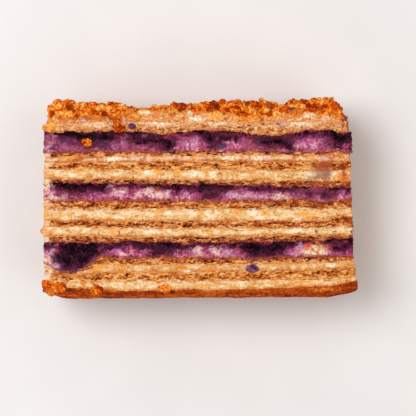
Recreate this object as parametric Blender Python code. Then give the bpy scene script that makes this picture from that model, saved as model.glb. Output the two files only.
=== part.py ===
"""A slice of honey cake: thin honey sponges, cream and three bands of berries under a crumb topping.

The slice lies on its side. +X runs along the layers, +Y points from the bottom crust to the crumb
topping, and +Z comes out of the cut face that shows. The origin is the middle of the box's underside,
where the other cut face rests. Sizes in the tables are millimetres.
"""

import math
import random
from typing import NamedTuple

import bmesh
import bpy
import numpy as np
from mathutils import Euler, Matrix, Vector

MM = 0.001

# Driving dimensions
LEFT_END_BOTTOM = -65.2
LEFT_END_TOP = -63.1
LEFT_LEAN_HEIGHTS = (70.0, 78.0)
RIGHT_END_BOTTOM = 65.4
RIGHT_END_TOP = 62.2
END_FLARE = 1.0
END_FLARE_FADE = 8.0
SLICE_HEIGHT = 84.0
SLICE_THICKNESS = 44.0
GAP = 0.3

# How finely each layer is faceted
COLUMNS = 34
DEPTH_ROWS = 2

# The bottom crust curls up at both ends, and the layers near it follow
LEFT_CURL = 3.8
LEFT_CURL_REACH = 14.0
LEFT_CURL_FADE = 5.0
RIGHT_CURL = 2.6
RIGHT_CURL_REACH = 15.0
RIGHT_CURL_FADE = 16.0

# Each seam wanders a little
SEAM_WAVE = 0.2
WAVE_LENGTHS = (9.0, 17.0, 38.0)
SEED = 7

# The large berry at the left of the lower band presses the layers under it, down to their thinnest
DEEP_BERRY_X = -55.0
DEEP_BERRY_REACH = 12.0
DEEP_BERRY_SINK = 6.4
DEEP_BERRY_FADE = 8.0
DEEP_BERRY_HEIGHT = 17.6
THINNEST = 0.75

# Cut faces: sponge stands back, cream is squeezed out, berries bulge
RELIEF = {"crust": 0.1, "sponge": -0.2, "cream": 0.2, "berry_cream": 0.15, "berries": 0.35, "crumb": 0.0}
RELIEF_WAVE = 0.12
BERRY_SPILL = 1.0

# The crumb topping, rounded off at both ends
LEFT_ROUND = 4.5
LEFT_DROP = 2.4
RIGHT_ROUND = 7.0
RIGHT_DROP = 7.5
CREAM_DROP = 2.4
TOPPING_EDGE = 1.2

# Its crumbs
CRUMB_PITCH_X = 8.2
CRUMB_PITCH_Z = 7.6
CRUMB_RADIUS = (2.0, 3.0)
EDGE_CRUMB_PITCH = 5.2
EDGE_CRUMB_RADIUS = (1.2, 1.9)
CRUMB_FACET_JITTER = 0.2


class Seam(NamedTuple):
    """The line between two layers: its height above the crust's lowest line at three places along X."""

    left: float
    middle: float
    right: float


class Layer(NamedTuple):
    """One layer: its node's name, what it is made of, and the seam on top of it."""

    name: str
    kind: str
    top: Seam


class Bump(NamedTuple):
    """A local rise, or a dip if negative, in a seam: where it is, how high and how far it reaches."""

    x: float
    rise: float
    reach: float


class Berry(NamedTuple):
    """Where berries hang down into the pale cream: the share of the band's depth that they add."""

    x: float
    share: float
    reach: float


class Crumb(NamedTuple):
    """A crumb that stands out at the front edge of the topping: its centre along X, radius and rise."""

    x: float
    radius: float
    rise: float


class Fallen(NamedTuple):
    """A crumb that stuck to a layer: the layer, the crumb's centre and its radii."""

    layer: str
    centre: tuple
    radii: tuple


class Stray(NamedTuple):
    """A piece of berry that stuck to the cut face: its node's name, its centre and its radii."""

    name: str
    centre: tuple
    radii: tuple


BOTTOM = Seam(0.3, 0.95, 1.2)

# From the bottom crust up. A band's pale cream and its berries share the space between two sponges.
LAYERS = (
    Layer("bottom_crust", "crust", Seam(5.2, 4.4, 6.3)),
    Layer("cream_01", "cream", Seam(8.2, 8.0, 9.1)),
    Layer("sponge_01", "sponge", Seam(11.2, 11.7, 12.8)),
    Layer("cream_02", "cream", Seam(14.9, 15.1, 16.3)),
    Layer("sponge_02", "sponge", Seam(17.6, 17.6, 18.2)),
    Layer("berry_cream_lower", "berry_cream", Seam(24.0, 23.9, 25.3)),
    Layer("sponge_03", "sponge", Seam(26.6, 26.4, 27.4)),
    Layer("cream_03", "cream", Seam(30.7, 30.1, 30.6)),
    Layer("sponge_04", "sponge", Seam(32.9, 32.9, 33.1)),
    Layer("cream_04", "cream", Seam(38.1, 38.1, 38.5)),
    Layer("sponge_05", "sponge", Seam(41.5, 41.5, 42.3)),
    Layer("berry_cream_middle", "berry_cream", Seam(49.0, 48.3, 46.9)),
    Layer("sponge_06", "sponge", Seam(50.7, 50.0, 49.8)),
    Layer("cream_05", "cream", Seam(54.7, 54.4, 54.4)),
    Layer("sponge_07", "sponge", Seam(57.5, 57.8, 57.8)),
    Layer("cream_06", "cream", Seam(59.9, 60.6, 60.7)),
    Layer("sponge_08", "sponge", Seam(61.5, 62.2, 62.0)),
    Layer("berry_cream_upper", "berry_cream", Seam(70.3, 70.8, 71.2)),
    Layer("sponge_09", "sponge", Seam(74.5, 74.5, 74.5)),
    Layer("cream_07", "cream", Seam(78.7, 78.7, 78.7)),
    Layer("crumb_topping", "crumb", Seam(82.2, 81.6, 83.6)),
)

# Local rises and dips of the seam on top of a layer
BUMPS = {
    "bottom_crust": (Bump(-30.0, -0.7, 14.0), Bump(8.0, -0.3, 8.0)),
    "sponge_02": (Bump(22.0, -1.0, 9.0),),
    "berry_cream_lower": (
        Bump(-27.0, 0.9, 7.0),
        Bump(-15.0, 0.8, 7.0),
        Bump(-4.0, -0.4, 5.0),
        Bump(58.0, 0.8, 7.0),
    ),
    "sponge_04": (Bump(59.0, 2.0, 7.0),),
    "sponge_05": (Bump(9.0, -0.5, 5.0), Bump(53.0, -1.3, 6.0)),
    "berry_cream_middle": (Bump(3.0, 0.6, 7.0),),
    "sponge_08": (Bump(-14.0, -0.6, 5.0), Bump(37.0, -0.6, 5.0)),
    "berry_cream_upper": (
        Bump(-15.0, -1.2, 9.0),
        Bump(29.5, -2.1, 14.0),
        Bump(61.0, -1.2, 5.0),
    ),
    "cream_07": (
        Bump(-53.0, -2.4, 13.0),
        Bump(-35.0, -1.4, 7.0),
        Bump(-14.0, 0.9, 9.0),
        Bump(22.0, -1.9, 10.0),
    ),
    "crumb_topping": (
        Bump(-58.0, 0.9, 5.0),
        Bump(-21.5, -2.0, 9.5),
        Bump(9.0, 0.9, 8.0),
        Bump(25.0, 0.5, 7.0),
        Bump(34.0, -1.8, 3.5),
        Bump(50.0, 0.9, 8.0),
    ),
}

# How far the berries of each band hang down on the front face
BERRIES = {
    "upper": (
        Berry(-60.0, 0.15, 5.0),
        Berry(-46.6, 0.42, 6.0),
        Berry(-38.0, 0.20, 6.0),
        Berry(-24.0, 0.25, 8.0),
        Berry(-13.5, 0.55, 5.0),
        Berry(6.0, 0.48, 5.0),
        Berry(28.0, 0.40, 7.0),
        Berry(37.0, 0.42, 4.5),
        Berry(59.0, 0.40, 5.5),
    ),
    "middle": (
        Berry(-52.0, 0.30, 8.0),
        Berry(-42.0, 0.20, 4.0),
        Berry(-10.0, 0.14, 5.0),
        Berry(4.5, 0.60, 7.0),
        Berry(46.0, 0.42, 8.0),
        Berry(56.0, 0.36, 4.0),
    ),
    "lower": (
        Berry(-57.0, 0.62, 5.5),
        Berry(-49.0, 0.62, 7.0),
        Berry(-41.5, 0.40, 4.5),
        Berry(-17.0, 0.50, 8.0),
        Berry(22.0, 0.35, 5.0),
        Berry(30.5, 0.55, 8.0),
        Berry(58.5, 0.42, 6.0),
    ),
}
BERRY_SHARE = 0.24
BERRY_SHARE_WAVE = 0.05
BERRY_SHARE_LIMITS = (0.16, 0.88)

# Berries that only show at the back and the ends
HIDDEN_BERRIES = 9
HIDDEN_BERRY_SHARE = (0.2, 0.6)

# Crumbs that stand out at the topping's front edge
FRONT_CRUMBS = (
    Crumb(-59.3, 2.5, 0.1),
    Crumb(-53.8, 2.0, 0.3),
    Crumb(-49.2, 2.1, 0.3),
    Crumb(-44.6, 2.1, 0.2),
    Crumb(-36.8, 2.3, 0.2),
    Crumb(-32.6, 1.6, 0.3),
    Crumb(-7.8, 2.4, 0.0),
    Crumb(5.6, 1.9, 0.5),
    Crumb(9.6, 1.6, 0.9),
    Crumb(16.5, 1.9, 0.2),
    Crumb(26.5, 1.9, 0.2),
    Crumb(40.6, 1.9, 0.1),
    Crumb(53.0, 1.7, 0.4),
)

# Crumbs that fell on the layers and stuck
FALLEN_CRUMBS = (
    Fallen("berries_upper", (-47.1, 65.9, SLICE_THICKNESS + 1.0), (2.2, 1.7, 1.3)),
    Fallen("cream_07", (-27.6, 76.4, SLICE_THICKNESS + 0.8), (2.4, 1.2, 1.3)),
    Fallen("sponge_09", (-33.5, 72.3, SLICE_THICKNESS + 0.4), (2.0, 1.3, 1.4)),
    Fallen("sponge_09", (-64.6, 72.3, SLICE_THICKNESS - 2.2), (1.5, 1.3, 1.9)),
    Fallen("cream_03", (-65.4, 28.8, SLICE_THICKNESS - 1.8), (1.4, 1.3, 1.6)),
    Fallen("bottom_crust", (-43.2, 2.9, SLICE_THICKNESS + 0.6), (2.8, 1.3, 1.4)),
    Fallen("bottom_crust", (-15.0, 3.1, SLICE_THICKNESS + 0.6), (1.9, 1.0, 1.2)),
)

STRAY_BERRIES = (
    Stray("berry_bit_on_sponge", (-28.3, 72.5, SLICE_THICKNESS + 1.2), (1.4, 1.2, 0.55)),
    Stray("berry_bit_on_cream", (22.2, 13.2, SLICE_THICKNESS + 1.5), (2.6, 1.6, 0.7)),
)

# Colour, roughness and clear-coat of each kind of layer
FINISHES = {
    "crust": ((0.45, 0.17, 0.045), 0.8, 0.0),
    "sponge": ((0.58, 0.31, 0.12), 0.9, 0.0),
    "cream": ((0.90, 0.74, 0.47), 0.5, 0.1),
    "berry_cream": ((0.56, 0.25, 0.42), 0.45, 0.2),
    "berries": ((0.055, 0.013, 0.045), 0.35, 0.4),
    "crumb": ((0.66, 0.27, 0.06), 0.85, 0.0),
}


def clear_scene():
    """Starts from an empty scene."""
    for thing in list(bpy.data.objects):
        bpy.data.objects.remove(thing, do_unlink=True)


def new_collection(name, parent):
    """A collection linked under its parent."""
    made = bpy.data.collections.new(name)
    parent.children.link(made)
    return made


def finish(kind):
    """The material of one kind of layer."""
    known = bpy.data.materials.get(kind)
    if known:
        return known
    colour, roughness, coat = FINISHES[kind]
    made = bpy.data.materials.new(kind)
    made.use_nodes = True
    shader = made.node_tree.nodes["Principled BSDF"]
    shader.inputs["Base Color"].default_value = (*colour, 1.0)
    shader.inputs["Roughness"].default_value = roughness
    shader.inputs["Metallic"].default_value = 0.0
    shader.inputs["Coat Weight"].default_value = coat
    made.diffuse_color = (*colour, 1.0)
    return made


def ease(t):
    """A square ramp from 0 at t = 0 to 1 at t = 1, held outside."""
    return np.clip(t, 0.0, 1.0) ** 2


def hill(distance, reach):
    """A smooth hill of height 1 that has mostly faded at its reach."""
    return np.exp(-1.5 * (distance / reach) ** 2)


def wave(x, z, key):
    """A gentle uneven wave between about -1 and 1, the same for the same key."""
    draw = random.Random(f"{SEED} {key}")
    total = np.zeros_like(x)
    for length in WAVE_LENGTHS:
        turn = draw.uniform(-0.5, 0.5)
        phase = draw.uniform(0.0, 2 * math.pi)
        total = total + np.sin(2 * math.pi * (x + turn * z) / length + phase)
    return total / len(WAVE_LENGTHS)


def through(seam, along):
    """The smooth curve through a seam's three heights, along from 0 at the left to 1 at the right."""
    slope = seam.right - seam.left
    bend = 2 * (seam.right + seam.left - 2 * seam.middle)
    return seam.middle + slope * (along - 0.5) + bend * (along - 0.5) ** 2


def curl(x, height):
    """How far the curled-up ends lift a seam of this height."""
    left = LEFT_CURL * ease((LEFT_END_BOTTOM + LEFT_CURL_REACH - x) / LEFT_CURL_REACH)
    right = RIGHT_CURL * ease((x - RIGHT_END_BOTTOM + RIGHT_CURL_REACH) / RIGHT_CURL_REACH)
    return left * max(0.0, 1 - height / LEFT_CURL_FADE) + right * max(0.0, 1 - height / RIGHT_CURL_FADE)


def ends(height):
    """X of the left and the right end, which lean in towards the top and flare out at the crust."""
    start, stop = LEFT_LEAN_HEIGHTS
    lean = min(1.0, max(0.0, (height - start) / (stop - start)))
    flare = END_FLARE * max(0.0, 1 - height / END_FLARE_FADE)
    left = LEFT_END_BOTTOM + (LEFT_END_TOP - LEFT_END_BOTTOM) * lean
    right = RIGHT_END_BOTTOM + (RIGHT_END_TOP - RIGHT_END_BOTTOM) * height / SLICE_HEIGHT
    return left - flare, right + flare


def deep_berry_sink(x, z, height):
    """How far the large berry of the lower band presses a seam of this height down."""
    if height > DEEP_BERRY_HEIGHT:
        return 0.0
    weight = max(0.0, 1 - (DEEP_BERRY_HEIGHT - height) / DEEP_BERRY_FADE)
    front = hill(z - SLICE_THICKNESS, SLICE_THICKNESS / 2)
    return DEEP_BERRY_SINK * weight * hill(x - DEEP_BERRY_X, DEEP_BERRY_REACH) * front


def seam_surface(key, seam, x, z):
    """The height of a seam over the slice."""
    left, right = ends(seam.middle)
    height = through(seam, (x - left) / (right - left)) + SEAM_WAVE * wave(x, z, key)
    for bump in BUMPS.get(key, ()):
        height = height + bump.rise * hill(x - bump.x, bump.reach)
    return height + curl(x, seam.middle) - deep_berry_sink(x, z, seam.middle)


def berry_share(band, x, z):
    """The share of a band, from its top down, that the berries fill."""
    draw = random.Random(f"{SEED} band {band}")
    share = BERRY_SHARE + BERRY_SHARE_WAVE * wave(x, z, f"share {band}")
    front = hill(z - SLICE_THICKNESS, SLICE_THICKNESS / 2)
    for berry in BERRIES[band]:
        share = share + berry.share * hill(x - berry.x, berry.reach) * front
    for _ in range(HIDDEN_BERRIES):
        place = draw.uniform(LEFT_END_BOTTOM, RIGHT_END_BOTTOM)
        depth = draw.uniform(0.0, SLICE_THICKNESS * 0.6)
        near = hill(x - place, 6.0) * hill(z - depth, 14.0)
        share = share + draw.uniform(*HIDDEN_BERRY_SHARE) * near
    return np.clip(share, *BERRY_SHARE_LIMITS)


def layer_grid(height):
    """X and Z of the grid of points on a seam of this height."""
    left, right = ends(height)
    x = np.linspace(left, right, COLUMNS + 1)
    z = np.linspace(0.0, SLICE_THICKNESS, DEPTH_ROWS + 1)
    return np.meshgrid(x, z, indexing="ij")


def round_off(x, height, left_drop, right_drop):
    """A surface brought down at both ends."""
    left, right = ends(SLICE_HEIGHT)
    near_left = ease((left + LEFT_ROUND - x) / LEFT_ROUND)
    near_right = ease((x - right + RIGHT_ROUND) / RIGHT_ROUND)
    return height - left_drop * near_left - right_drop * near_right


def stack_layers():
    """The layers from the bottom up, each as its name, kind, and the X, Y and Z of its two seams."""
    x, z = layer_grid(0.0)
    lower = (x, seam_surface("bottom", BOTTOM, x, z), z)
    made = []
    for layer in LAYERS:
        x, z = layer_grid(layer.top.middle)
        y = np.maximum(seam_surface(layer.name, layer.top, x, z), lower[1] + THINNEST)
        if layer.name == "cream_07":
            y = round_off(x, y, 0.0, CREAM_DROP)
        if layer.kind == "crumb":
            y = np.maximum(round_off(x, y, LEFT_DROP, RIGHT_DROP), lower[1] + TOPPING_EDGE)
        upper = (x, y, z)
        if layer.kind == "berry_cream":
            band = layer.name.removeprefix("berry_cream_")
            share = berry_share(band, x, z)
            middle = (x, y - share * (y - lower[1]), z)
            made.append((layer.name, layer.kind, lower, middle))
            made.append((f"berries_{band}", "berries", middle, upper))
        else:
            made.append((layer.name, layer.kind, lower, upper))
        lower = upper
    return made


def cut_box():
    """A unit box about the origin, cut into columns along X, rows along Z, and triangles."""
    box = bmesh.new()
    bmesh.ops.create_cube(box, size=1.0)
    for axis, parts in ((0, COLUMNS), (2, DEPTH_ROWS)):
        along = [e for e in box.edges if abs(e.verts[0].co[axis] - e.verts[1].co[axis]) > 0.9]
        bmesh.ops.subdivide_edges(box, edges=along, cuts=parts - 1, use_grid_fill=True)
    for face in list(box.faces):
        near = min(face.verts, key=lambda corner: sum(corner.co))
        far = max(face.verts, key=lambda corner: sum(corner.co))
        bmesh.utils.face_split(face, near, far)
    return box


def outward(name, kind, column, row):
    """How far a point of the rim stands out from the plain cut face, as an offset in X and in Z."""
    draw = random.Random(f"{SEED} relief {name} {column} {row}")
    relief = RELIEF[kind] + draw.uniform(-RELIEF_WAVE, RELIEF_WAVE)
    dx = -relief if column == 0 else relief if column == COLUMNS else 0.0
    if name.endswith("_upper") and column == COLUMNS:
        dx += BERRY_SPILL
    dz = relief if row == DEPTH_ROWS else 0.0
    return Vector((dx, 0.0, dz))


def layer_mesh(name, kind, lower, upper):
    """The closed mesh of one layer, between its two seams."""
    box = cut_box()
    for corner in box.verts:
        column = round((corner.co.x + 0.5) * COLUMNS)
        row = round((corner.co.z + 0.5) * DEPTH_ROWS)
        seam, inset = (upper, -GAP / 2) if corner.co.y > 0 else (lower, GAP / 2)
        place = Vector(float(axis[column, row]) for axis in seam)
        place.y += inset
        corner.co = (place + outward(name, kind, column, row)) * MM
    bmesh.ops.recalc_face_normals(box, faces=box.faces)
    mesh = bpy.data.meshes.new(name)
    box.to_mesh(mesh)
    box.free()
    return mesh


def add_layer(name, kind, lower, upper, parts):
    """One layer as an object of its own."""
    mesh = layer_mesh(name, kind, lower, upper)
    mesh.materials.append(finish(kind))
    made = bpy.data.objects.new(name, mesh)
    parts.objects.link(made)
    return made


def lump(name, centre, radii, draw, collection):
    """One craggy lump: an icosphere with its corners pushed in and out, turned at random."""
    ball = bmesh.new()
    bmesh.ops.create_icosphere(ball, subdivisions=1, radius=1.0)
    for corner in ball.verts:
        corner.co *= 1 + draw.uniform(-CRUMB_FACET_JITTER, CRUMB_FACET_JITTER)
    turn = Euler([draw.uniform(0, 2 * math.pi) for _ in range(3)]).to_matrix().to_4x4()
    size = Matrix.Diagonal((*(Vector(radii) * MM), 1.0))
    ball.transform(Matrix.Translation(Vector(centre) * MM) @ size @ turn)
    mesh = bpy.data.meshes.new(name)
    ball.to_mesh(mesh)
    ball.free()
    made = bpy.data.objects.new(name, mesh)
    collection.objects.link(made)
    return made


def height_over(seam, x, z):
    """The height of a seam at a point, from its grid."""
    columns, depths = seam[0][:, 0], seam[2][0, :]
    rows = [np.interp(x, columns, seam[1][:, row]) for row in range(len(depths))]
    return float(np.interp(z, depths, rows))


def scatter_crumbs(lower, upper, loose):
    """Crumbs over the topping: the front edge's own ones, a row behind them, and an even spread."""
    draw = random.Random(f"{SEED} crumbs")
    left, right = ends(SLICE_HEIGHT)

    def put(x, z, radius, rise):
        """One crumb bedded in the topping, pressed flat under it and clear of the flat back."""
        radii = [radius * draw.uniform(0.85, 1.1) for _ in range(3)]
        height = height_over(upper, x, z) - 0.45 * radius + rise
        crumb = lump("crumb", (x, height, max(z, radius * 1.4)), radii, draw, loose)
        for corner in crumb.data.vertices:
            place = corner.co / MM
            corner.co.y = max(place.y, height_over(lower, place.x, place.z) + 2 * GAP) * MM

    for crumb in FRONT_CRUMBS:
        put(crumb.x, SLICE_THICKNESS - 0.5 * crumb.radius, crumb.radius, crumb.rise)
    edge = left + 2.5
    while edge < right - RIGHT_ROUND / 2:
        radius = draw.uniform(*EDGE_CRUMB_RADIUS)
        if all(abs(edge - crumb.x) > crumb.radius + radius for crumb in FRONT_CRUMBS):
            put(edge, SLICE_THICKNESS - radius * draw.uniform(0.5, 1.0), radius, 0.1)
        edge += EDGE_CRUMB_PITCH * draw.uniform(0.75, 1.2)
    z = 4.0
    while z < SLICE_THICKNESS - 6.0:
        x = left + draw.uniform(2.0, 5.0)
        while x < right - 1.5:
            jitter = CRUMB_PITCH_Z * draw.uniform(-0.22, 0.22)
            put(x, z + jitter, draw.uniform(*CRUMB_RADIUS), 0.2)
            x += CRUMB_PITCH_X * draw.uniform(0.75, 1.25)
        z += CRUMB_PITCH_Z


def fuse(body, loose):
    """Joins a collection of crumbs to a body, and removes the crumbs."""
    union = body.modifiers.new("crumbs", "BOOLEAN")
    union.operation = "UNION"
    union.operand_type = "COLLECTION"
    union.collection = loose
    union.solver = "EXACT"
    union.use_self = True
    bpy.context.view_layer.update()
    joined = bpy.data.meshes.new_from_object(body.evaluated_get(bpy.context.evaluated_depsgraph_get()))
    body.modifiers.clear()
    body.data = joined
    for crumb in list(loose.objects):
        bpy.data.objects.remove(crumb, do_unlink=True)
    bpy.data.collections.remove(loose)


def stand(parts):
    """Hangs every layer on one empty that puts the origin under the middle of the slice."""
    corners = np.array([corner.co for part in parts.objects for corner in part.data.vertices])
    low, high = corners.min(axis=0), corners.max(axis=0)
    slice_origin = bpy.data.objects.new("slice_origin", None)
    slice_origin.location = (-(low[0] + high[0]) / 2, -(low[1] + high[1]) / 2, -low[2])
    for part in parts.objects:
        part.parent = slice_origin
    parts.objects.link(slice_origin)


def main():
    """Builds the slice."""
    clear_scene()
    scene = bpy.context.scene.collection
    parts = new_collection("honey_cake", scene)
    draw = random.Random(f"{SEED} fallen")
    for name, kind, lower, upper in stack_layers():
        made = add_layer(name, kind, lower, upper, parts)
        fallen = [crumb for crumb in FALLEN_CRUMBS if crumb.layer == name]
        if fallen or kind == "crumb":
            loose = new_collection("loose_crumbs", scene)
            for crumb in fallen:
                lump("crumb", crumb.centre, crumb.radii, draw, loose)
            if kind == "crumb":
                scatter_crumbs(lower, upper, loose)
            fuse(made, loose)
    for stray in STRAY_BERRIES:
        bit = lump(stray.name, stray.centre, stray.radii, draw, parts)
        bit.data.materials.append(finish("berries"))
    stand(parts)


main()
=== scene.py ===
"""A slice of honey cake, dressed: crumbly sponges, smeared cream, wet berries and a crumb topping.

The slice lies on its side with the cut face up. Lengths in the tables are millimetres, measured from
the middle of the bottom crust's front edge: +X along the layers, +Y towards the topping, +Z up.
"""

from __future__ import annotations

import logging
import math
import random
from abc import ABC, abstractmethod
from dataclasses import dataclass, field
from enum import Enum
from functools import cache
from typing import Any

import bmesh
import bpy
import numpy as np
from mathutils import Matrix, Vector
from mathutils.geometry import delaunay_2d_cdt

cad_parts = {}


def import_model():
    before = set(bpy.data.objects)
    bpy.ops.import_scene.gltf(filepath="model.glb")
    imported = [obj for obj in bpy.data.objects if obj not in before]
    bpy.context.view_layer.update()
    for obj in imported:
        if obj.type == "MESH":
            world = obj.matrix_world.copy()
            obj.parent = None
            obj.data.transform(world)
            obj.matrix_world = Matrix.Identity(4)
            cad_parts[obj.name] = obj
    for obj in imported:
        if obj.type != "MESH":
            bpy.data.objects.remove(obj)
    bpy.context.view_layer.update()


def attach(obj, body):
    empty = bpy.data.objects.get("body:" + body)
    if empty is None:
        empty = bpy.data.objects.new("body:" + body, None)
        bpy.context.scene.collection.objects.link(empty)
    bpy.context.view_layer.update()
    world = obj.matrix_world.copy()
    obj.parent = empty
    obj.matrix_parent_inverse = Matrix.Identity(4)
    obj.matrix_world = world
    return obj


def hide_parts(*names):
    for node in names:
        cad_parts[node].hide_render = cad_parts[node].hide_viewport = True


Array = np.ndarray
Line = tuple[Array, Array]
Pair = tuple[float, float]
Triple = tuple[float, float, float]
LOG = logging.getLogger("honey_cake")
MM = 0.001
SEED = 7
THICKNESS = 44.0
HEIGHT = 84.0
ORIGIN = (0.0788, -43.0429, 0.0)
# A distance that stands for nothing near.
FAR = 9.0


class Kind(Enum):
    """What a layer is made of, by the name of its material slot."""

    CRUST = "crust"
    SPONGE = "sponge"
    CREAM = "cream"
    BERRY_CREAM = "berry_cream"
    BERRIES = "berries"
    CRUMB = "crumb"


class Tint(Enum):
    """The colours of the stains on the cut face."""

    PALE = "#f6e2c2"
    CREAM = "#f3caa4"
    PEACH = "#e2a676"
    GREY = "#a46c4e"
    GOLD = "#eda243"
    AMBER = "#da7a26"
    FLAME = "#d2480e"
    HONEY = "#e0a04e"
    BRICK = "#a84a22"
    SOAKED = "#6c2428"
    RUST = "#8c2c0a"
    # Dark brown: dark crumbs and baked spots, and painted shade in the holes of the sponges.
    BROWN = "#541a08"
    # Near black: the berries' darkest juice, and painted shadow in the gaps and crevices where a band draws
    # back from the sponge.
    INK = "#080205"
    PLUM = "#3f1728"
    PURPLE = "#522746"
    SLATE = "#4a3a55"
    WINE = "#66223a"
    CHERRY = "#9a3450"
    ROSE = "#99455f"
    MAUVE = "#a85378"
    LILAC = "#ca8fa6"
    BLUSH = "#e2b4ac"
    DUSK = "#75556a"


# Stains that also dent the surface; the darkness of the near-black and dark brown ones is partly painted
# shade in those hollows.
DENTED = (Tint.INK, Tint.BROWN, Tint.RUST)
# How deep stains reach, and where a soft and a crisp edge start and end, in half widths.
STAIN_DEPTH = 16.0
SOFT_EDGE = (1.7, 0.1)
CRISP_EDGE = (1.4, 0.45)


# --- What the slice is made of --------------------------------------


@dataclass(frozen=True)
class Seam:
    """The line between two layers: its height at three places along X."""

    left: float
    middle: float
    right: float

    def through(self, along: Array) -> Array:
        """The smooth curve through the three heights.

        Args:
            along: 0 at the left end to 1 at the right end.

        Returns:
            The height at each place.
        """
        slope = self.right - self.left
        bend = 2 * (self.right + self.left - 2 * self.middle)
        return self.middle + slope * (along - 0.5) + bend * (along - 0.5) ** 2


@dataclass(frozen=True)
class Layer:
    """One layer: its node, what it is made of, and the seam on top of it."""

    name: str
    kind: Kind
    top: Seam


@dataclass(frozen=True)
class Bump:
    """A local rise, or a dip if negative, in a seam."""

    x: float
    rise: float
    reach: float


@dataclass(frozen=True)
class Berry:
    """Where berries hang down into the pale cream, and the share of the band's depth they add."""

    x: float
    share: float
    reach: float


@dataclass(frozen=True)
class Stain:
    """A patch of colour on the cut face of the layers whose names hold a word."""

    layers: str
    tint: Tint
    x: float
    y: float
    across: float
    high: float
    turn: float = 0.0
    strength: float = 1.0


def stains(layers: str, *groups: tuple[Any, ...]) -> list[Stain]:
    """Stains on some of the layers.

    Args:
        layers: A word in the names of the layers that they lie on.
        groups: A tint, then X, Y, half width and half height of each stain of that tint, with its angle
            and its strength if need be.

    Returns:
        The stains.
    """
    return [Stain(layers, tint, *spot) for tint, *spots in groups for spot in spots]


BOTTOM = Seam(0.3, 0.95, 1.2)
LAYERS = (
    Layer("bottom_crust", Kind.CRUST, Seam(5.2, 4.4, 6.3)),
    Layer("cream_01", Kind.CREAM, Seam(8.2, 8.0, 9.1)),
    Layer("sponge_01", Kind.SPONGE, Seam(11.2, 11.7, 12.8)),
    Layer("cream_02", Kind.CREAM, Seam(14.9, 15.1, 16.3)),
    Layer("sponge_02", Kind.SPONGE, Seam(17.6, 17.6, 18.2)),
    Layer("berry_cream_lower", Kind.BERRY_CREAM, Seam(24.0, 23.9, 25.3)),
    Layer("sponge_03", Kind.SPONGE, Seam(26.6, 26.4, 27.4)),
    Layer("cream_03", Kind.CREAM, Seam(30.7, 30.1, 30.6)),
    Layer("sponge_04", Kind.SPONGE, Seam(32.9, 32.9, 33.1)),
    Layer("cream_04", Kind.CREAM, Seam(38.1, 38.1, 38.5)),
    Layer("sponge_05", Kind.SPONGE, Seam(41.5, 41.5, 42.3)),
    Layer("berry_cream_middle", Kind.BERRY_CREAM, Seam(49.0, 48.3, 46.9)),
    Layer("sponge_06", Kind.SPONGE, Seam(50.7, 50.0, 49.8)),
    Layer("cream_05", Kind.CREAM, Seam(54.7, 54.4, 54.4)),
    Layer("sponge_07", Kind.SPONGE, Seam(57.5, 57.8, 57.8)),
    Layer("cream_06", Kind.CREAM, Seam(59.9, 60.6, 60.7)),
    Layer("sponge_08", Kind.SPONGE, Seam(61.5, 62.2, 62.0)),
    Layer("berry_cream_upper", Kind.BERRY_CREAM, Seam(70.3, 70.8, 71.2)),
    Layer("sponge_09", Kind.SPONGE, Seam(74.5, 74.5, 74.5)),
    Layer("cream_07", Kind.CREAM, Seam(78.7, 78.7, 78.7)),
    Layer("crumb_topping", Kind.CRUMB, Seam(82.2, 81.6, 83.6)),
)
BUMPS = {
    "bottom_crust": (Bump(-30.0, -0.7, 14.0), Bump(8.0, -0.3, 8.0)),
    "cream_02": (Bump(-41.0, 1.0, 5.0),),
    "sponge_02": (Bump(-41.0, 1.6, 5.0), Bump(-50.0, -0.4, 5.0), Bump(22.0, -1.0, 9.0)),
    "berry_cream_lower": (
        Bump(-27.0, 0.9, 7.0), Bump(-15.0, 0.8, 7.0), Bump(-4.0, -0.4, 5.0), Bump(58.0, 0.8, 7.0),
    ),
    "sponge_04": (Bump(59.0, 2.0, 7.0),),
    "sponge_05": (Bump(9.0, -0.5, 5.0), Bump(53.0, -1.3, 6.0)),
    "berry_cream_middle": (Bump(3.0, 0.6, 7.0),),
    "sponge_08": (Bump(-14.0, -0.6, 5.0), Bump(37.0, -0.6, 5.0)),
    "berry_cream_upper": (Bump(-15.0, -1.2, 9.0), Bump(29.5, -2.1, 14.0), Bump(61.0, -1.2, 5.0)),
    "cream_07": (
        Bump(-53.0, -2.4, 13.0), Bump(-35.0, -1.4, 7.0), Bump(-14.0, 0.9, 9.0), Bump(22.0, -1.9, 10.0),
    ),
    "crumb_topping": (
        Bump(-58.0, 0.9, 5.0), Bump(-21.5, -2.0, 9.5), Bump(9.0, 0.9, 8.0), Bump(25.0, 0.5, 7.0),
        Bump(34.0, -1.8, 3.5), Bump(50.0, 0.9, 8.0),
    ),
}
BERRIES = {
    "upper": (
        Berry(-60.0, 0.15, 5.0), Berry(-46.6, 0.42, 6.0), Berry(-38.0, 0.20, 6.0),
        Berry(-24.0, 0.25, 8.0), Berry(-13.5, 0.55, 5.0), Berry(6.0, 0.48, 5.0), Berry(28.0, 0.40, 7.0),
        Berry(37.0, 0.42, 4.5), Berry(59.0, 0.40, 5.5),
    ),
    "middle": (
        Berry(-52.0, 0.30, 8.0), Berry(-42.0, 0.20, 4.0), Berry(-10.0, 0.14, 5.0), Berry(4.5, 0.60, 7.0),
        Berry(46.0, 0.42, 8.0), Berry(56.0, 0.36, 4.0),
    ),
    "lower": (
        Berry(-57.0, 0.62, 5.5), Berry(-49.0, 0.62, 7.0), Berry(-41.5, 0.40, 4.5),
        Berry(-17.0, 0.50, 8.0), Berry(22.0, 0.35, 5.0), Berry(30.5, 0.55, 8.0), Berry(58.5, 0.42, 6.0),
    ),
}
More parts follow.
